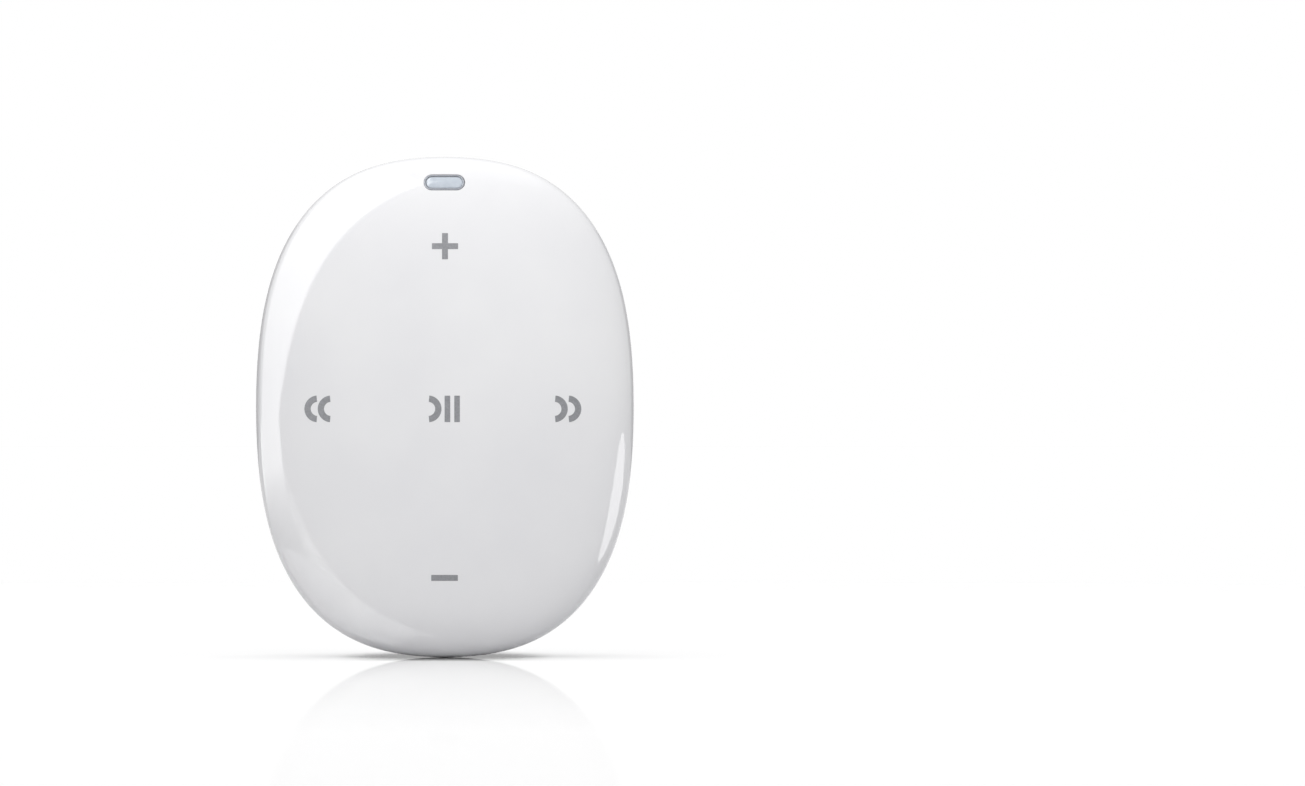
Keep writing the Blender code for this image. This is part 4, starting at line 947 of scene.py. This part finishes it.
def make_clip():
    side = CLIP_HALF[0]
    crown = mm((0, 4.8), (3.0, 4.795), (6.0, 4.775), (9.0, 4.735), (11.4, 4.685))
    rounding = arc((side - CLIP_EDGE, 4.66 * MM - CLIP_EDGE), CLIP_EDGE, 90, 0, 8)
    foot = arc((side - 0.1 * MM, 3.9 * MM), 0.1 * MM, 0, -90, 3)
    plate = clip_shape(crown + rounding + foot + mm((6.0, 3.8), (0, 3.8)))
    piece("clip_face_plate", plate, "clip", CLIP, "clip_satin", "clip_plate")

    outer = side - TRAY_INSET
    inner = outer - TRAY_WALL
    tray = [
        *mm((0, 3.7), (8.0, 3.7)),
        *arc((outer - 0.1 * MM, 3.6 * MM), 0.1 * MM, 90, 0, 3),
        *arc((outer - 0.25 * MM, 2.15 * MM), 0.25 * MM, 0, -90, 4),
        *arc((inner + 0.25 * MM, 2.15 * MM), 0.25 * MM, -90, -180, 4),
        (inner, 2.8 * MM),
        *mm((6.0, 2.8), (0, 2.8)),
    ]
    steps = [("UNION", knuckle) for knuckle in hinge_lugs(KNUCKLE_SPAN, CLIP_ROOT, -1)]
    steps.append(("DIFFERENCE", hinge_rod(PIN_HOLE_RADIUS, PIN_HOLE_HALF)))
    jaw_y = back_height(0, JAW_Z) + JAW_GAP + JAW_RADIUS
    steps.append(("UNION", lug((-JAW_HALF, JAW_HALF), CLIP_ROOT, (jaw_y, JAW_Z), JAW_RADIUS, -1)))
    piece("clip_arm", worked(clip_shape(tray), *steps), "clip", CLIP, "clip_satin", "clip_lever")
    pin = hinge_rod(PIN_RADIUS, PIN_HALF, 0.12 * MM)
    piece("hinge_axle", pin, "housing", SPRING, "steel", "hinge_pin")
    make_clip_spring()


def make_clip_spring():
    """The torsion spring: a ring of wire spun along the hinge axis, with both ends drawn out as legs.

    The clip's leg leans by a little more than the clip opens, so that the clip stays clear of it.
    """
    wire, radius, half_length, leg = 0.25 * MM, 0.95 * MM, 1.75 * MM, 6.0 * MM
    turns, per_turn = 3.5, 36
    steps = int(turns * per_turn)
    bm = bmesh.new()
    bmesh.ops.create_circle(bm, segments=14, radius=wire)
    placed(bm, Matrix.Translation((-half_length, -radius, 0)))
    rims, ring = [bm.edges[:]], bm.verts[:] + bm.edges[:]
    pitch = (2 * half_length / steps, 0, 0)
    spun = bmesh.ops.spin(
        bm, geom=ring, cent=(0, 0, 0), axis=(1, 0, 0), dvec=pitch, angle=math.tau * turns, steps=steps
    )
    rims.append(edges_of(spun["geom_last"]))
    for rim, lean in zip(rims, (0.0, math.tan(math.radians(12.6)))):
        for length in (leg - 0.1 * MM, 0.1 * MM):
            drawn = bmesh.ops.extrude_edge_only(bm, edges=rim)["geom"]
            fresh = verts_of(drawn)
            bmesh.ops.translate(bm, vec=(0, -lean * length, length), verts=fresh)
            rim = [e for e in edges_of(drawn) if set(e.verts) <= set(fresh)]
        middle = sum((v.co for v in fresh), Vector()) / len(fresh)
        for vert in fresh:
            vert.co = middle + (vert.co - middle) * 0.6
        bmesh.ops.contextual_create(bm, geom=rim)
    bmesh.ops.recalc_face_normals(bm, faces=bm.faces[:])
    placed(bm, Matrix.Translation((0, HINGE_Y, HINGE_Z)))
    piece("clip_torsion_spring", bm, "housing", SPRING, "steel", "clip_spring", smooth=50.0)


make_front()
make_front_marks()
make_back()
for switch in SWITCHES:
    make_slider(switch)
make_back_labels()
make_socket()
make_clip()

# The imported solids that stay, each in its own finish
KEPT = {
    FRAME: ("mid_frame",),
    BOARD: ("main_board",),
    CHIP: ("processor_chip", "memory_chip", "amplifier_chip"),
    SWITCH: ("power_switch", "mode_switch", "hold_switch", "reset_switch"),
    LEVER: ("power_lever", "mode_lever", "hold_lever", "reset_plunger"),
    FOIL: ("battery",),
    FOAM: ("battery_foam",),
    SILICONE: ("key_mat",),
    SHEET: ("dome_film", "spring_plate", "board_screw_1", "board_screw_2", "board_screw_3", "board_screw_4"),
    PHOSPHOR: ("led_chip",),
}
for look, names in KEPT.items():
    for name in names:
        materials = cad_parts[name].data.materials
        materials.clear()
        materials.append(look)


# Studio


def bare_material(name):
    """A material with no shader yet, and its node tree."""
    material = bpy.data.materials.new(name)
    material.use_nodes = True
    material.cycles.emission_sampling = "NONE"
    tree = material.node_tree
    tree.nodes.remove(tree.nodes["Principled BSDF"])
    return material, tree


def worked_out(tree, operation, *values, **settings):
    """The result of one sum."""
    return add(tree, "Math", dict(enumerate(values)), operation=operation, **settings).outputs[0]


def mixed(tree, fac, first, second):
    return add(tree, "MixShader", {0: fac, 1: first, 2: second}).outputs[0]


def glowing(tree, colour, strength):
    return add(tree, "Emission", {"Color": colour, "Strength": strength}).outputs[0]


def surfaced(tree, shader):
    tree.links.new(shader, tree.nodes["Material Output"].inputs["Surface"])


def seen_rays(tree):
    """1 on rays that make the picture, straight or by mirror or glass, and 0 on rays that gather light."""
    path = add(tree, "LightPath").outputs
    direct = worked_out(tree, "ADD", path["Is Camera Ray"], path["Is Glossy Ray"])
    return worked_out(tree, "ADD", direct, path["Is Transmission Ray"], use_clamp=True)


def studio_floor():
    """White acrylic sheet: pale and even, with a mirror image that is clear at the player and fades away."""
    material, tree = bare_material("white_acrylic_sheet")
    place = add(tree, "TexCoord").outputs["Object"]
    away = add(tree, "VectorMath", {0: place}, operation="LENGTH").outputs["Value"]
    seen = seen_rays(tree)
    # The soft contact shade under the player, which is deepest below its middle and thins out to both sides
    nook = add(tree, "AmbientOcclusion", {"Color": WHITE, "Distance": 13 * MM}).outputs["Color"]
    aside = worked_out(tree, "ABSOLUTE", add(tree, "SeparateXYZ", {0: place}).outputs["X"])
    depth = spread(tree, aside, 2 * MM, 12.5 * MM, 3.6, 0.25, interpolation_type="SMOOTHSTEP")
    nook = add(tree, "Gamma", {"Color": nook, "Gamma": depth}).outputs["Color"]
    # Grey for the light that it throws on the player, and white to the eye
    grey = add(tree, "BsdfDiffuse", {"Color": linear("D4D4D6")}).outputs[0]
    white = add(tree, "BsdfDiffuse", {"Color": nook}).outputs[0]
    haze = glowing(tree, nook, worked_out(tree, "MULTIPLY", seen, 0.133))
    near = add(tree, "AddShader", {0: mixed(tree, seen, grey, white), 1: haze}).outputs[0]
    ground = mixed(tree, spread(tree, away, 0.05, 0.4), near, glowing(tree, WHITE, seen))
    mirror = add(tree, "BsdfGlossy", {"Color": WHITE, "Roughness": 0.03}).outputs[0]
    shine = worked_out(tree, "MULTIPLY", spread(tree, away, 0.012, 0.23, 0.36, 0.06), seen)
    surfaced(tree, mixed(tree, shine, ground, mirror))
    return material


def clear_film():
    """A clear film on the floor. It marks the rays that the floor mirrors, so that cards keep out of them."""
    material, tree = bare_material("clear_film")
    surfaced(tree, add(tree, "BsdfTransparent", {"Color": WHITE}).outputs[0])
    return material


def studio_world():
    """White to the eye and in reflections; for the light that it gives, a dome that is brighter overhead."""
    world = bpy.data.worlds.new("white_dome")
    bpy.context.scene.world = world
    world.use_nodes = True
    tree = world.node_tree
    dome = tree.nodes["Background"]
    dome.inputs["Color"].default_value = WHITE
    way = add(tree, "TexCoord").outputs["Generated"]
    up = add(tree, "SeparateXYZ", {0: way}).outputs["Z"]
    tree.links.new(spread(tree, up, 0.0, 1.0, 0.66, 1.02), dome.inputs["Strength"])
    plain = add(tree, "Background", {"Color": WHITE, "Strength": 1.0}).outputs[0]
    sky = mixed(tree, seen_rays(tree), dome.outputs[0], plain)
    tree.links.new(sky, tree.nodes["World Output"].inputs["Surface"])


def card(name, flat, spot, way, strength, fade=None, on_floor=False):
    """A flat glowing card at a spot in millimetres, facing along a direction, that shows only in reflections.

    With fade (axis, start, end, strength) it changes to that strength between two places in millimetres.
    The floor mirrors it only with on_floor.
    """
    facing = Vector(way).to_track_quat("Z", "Y").to_matrix().to_4x4()
    obj = mesh_object(name, placed(flat, at(*spot) @ facing))
    material, tree = bare_material(name)
    if fade:
        axis, start, end, other = fade
        place = add(tree, "TexCoord").outputs["Object"]
        along = add(tree, "SeparateXYZ", {0: place}).outputs[axis]
        strength = spread(tree, along, start * MM, end * MM, strength, other)
    glow = glowing(tree, WHITE, strength)
    if not on_floor:
        # A ray off the floor has come through the clear film, and passes the card
        filmed = add(tree, "LightPath").outputs["Transparent Depth"]
        gone = add(tree, "BsdfTransparent", {"Color": WHITE}).outputs[0]
        glow = mixed(tree, filmed, glow, gone)
    surfaced(tree, glow)
    obj.data.materials.append(material)
    obj.visible_camera = obj.visible_diffuse = obj.visible_shadow = obj.visible_transmission = False


def lamp(name, spot, radiance, size, lit_pieces):
    """A round soft lamp at a spot in millimetres, facing the player, as bright as that many times white."""
    data = bpy.data.lights.new(name, "AREA")
    data.shape = "DISK"
    data.size = size * MM
    data.energy = radiance * math.pi * math.pi * data.size**2 / 4
    obj = new_object(name, data)
    obj.location = Vector(spot) * MM
    obj.rotation_euler = obj.location.to_track_quat("Z", "Y").to_euler()
    obj.visible_camera = obj.visible_glossy = False
    obj.light_linking.receiver_collection = lit_pieces


def lit(name, state, *names):
    """The objects that a lamp lights: with INCLUDE only these, with EXCLUDE all but these."""
    collection = bpy.data.collections.new(name)
    for each in names:
        collection.objects.link(bpy.data.objects[each])
    for member in collection.collection_objects:
        member.light_linking.link_state = state
    return collection


def make_studio():
    floor = mesh_object("studio_floor", bar(8.0, 8.0))
    floor.data.materials.append(studio_floor())
    floor.location.z = cad_box[0].z
    film = mesh_object("floor_film", block((-4, -4, 0), (4, 4, 0.01 * MM)))
    film.data.materials.append(clear_film())
    film.location.z = cad_box[0].z + 0.1 * MM
    film.visible_diffuse = film.visible_shadow = film.visible_transmission = False
    all_pieces = lit("lit_all_over", "EXCLUDE", "studio_floor")
    back_pieces = lit("lit_from_behind", "EXCLUDE", "studio_floor", "front_shell", "clip_face_plate")
    clip_pieces = lit("lit_clip", "INCLUDE", "clip_face_plate")
    front_rim = lit("lit_front_rim", "INCLUDE", "front_shell")
    studio_world()
    # The round softbox whose edge draws the bright crescent on the front cover's left and top
    left, above, behind = Vector((-0.716, -0.229, 0.66)), Vector((-0.1, -0.2, 0.97)), Vector((0, 1, 0))
    card("crescent_card", dot(0.707), left * 600, left, 5.2, ("Y", -30, 110, 2.0), on_floor=True)
    # Below it, a bright floor carries the crescent on down the left edge and fades towards the player
    card("low_card", ring_part(0.05, 0.95, 347, 61), (0, 0, -27.3), (0, 0, 1), 5.2, ("X", -170, -45, 1.0))
    card("top_card", dot(0.49), above * 700, above, 1.3, on_floor=True)
    # A grey ring behind the player draws its outline on white
    card("outline_ring", ring_part(0.135, 0.55, 145, 250), behind * 300, behind, 0.2)
    card("top_outline", ring_part(0.135, 0.55, 35, 110), behind * 300, behind, 0.55)
    # A card low on the right draws a streak on the front cover's edge
    streak = placed(dot(10 * MM), Matrix.Diagonal((0.66, 1.18, 1, 1)))
    card("streak_card", streak, (36, -16, -15.5), (1, -0.3, 0), 5.2)
    # A white card beside the player keeps that streak off the back cover
    card("streak_screen", bar(13.5 * MM, 24 * MM), (29.2, -9.6, -15.5), behind, 1.0)
    lamp("front_softbox", (0, -75, 58), 3.7, 56, all_pieces)
    lamp("back_tent", (90, 220, 40), 0.82, 420, back_pieces)
    lamp("clip_softbox", (28, 36, 44), 14.5, 40, clip_pieces)
    lamp("left_flank_softbox", (85, 6, 22), 2.2, 56, back_pieces)
    lamp("right_flank_softbox", (-85, 6, -5), 3.2, 56, back_pieces)
    lamp("rim_softbox", (0, 160, 20), 5.0, 80, front_rim)


def make_camera():
    """The camera frames the player as the photograph's left-hand view does."""
    data = bpy.data.cameras.new("camera")
    data.sensor_width = 36.0
    data.lens = data.sensor_width * STAND_OFF / PICTURE_SPAN
    data.clip_start, data.clip_end = 0.05, 20.0
    camera = new_object("camera", data)
    pixel = PICTURE_SPAN / PICTURE[0]
    right, up = PICTURE[0] / 2 - PLAYER_AT[0], PLAYER_AT[1] - PICTURE[1] / 2
    camera.location = (right * pixel, -STAND_OFF - FRONT_RIM, up * pixel)
    camera.rotation_euler = (math.pi / 2, 0, 0)
    bpy.context.scene.camera = camera
    bpy.context.scene.view_settings.view_transform = "Standard"


make_studio()
make_camera()
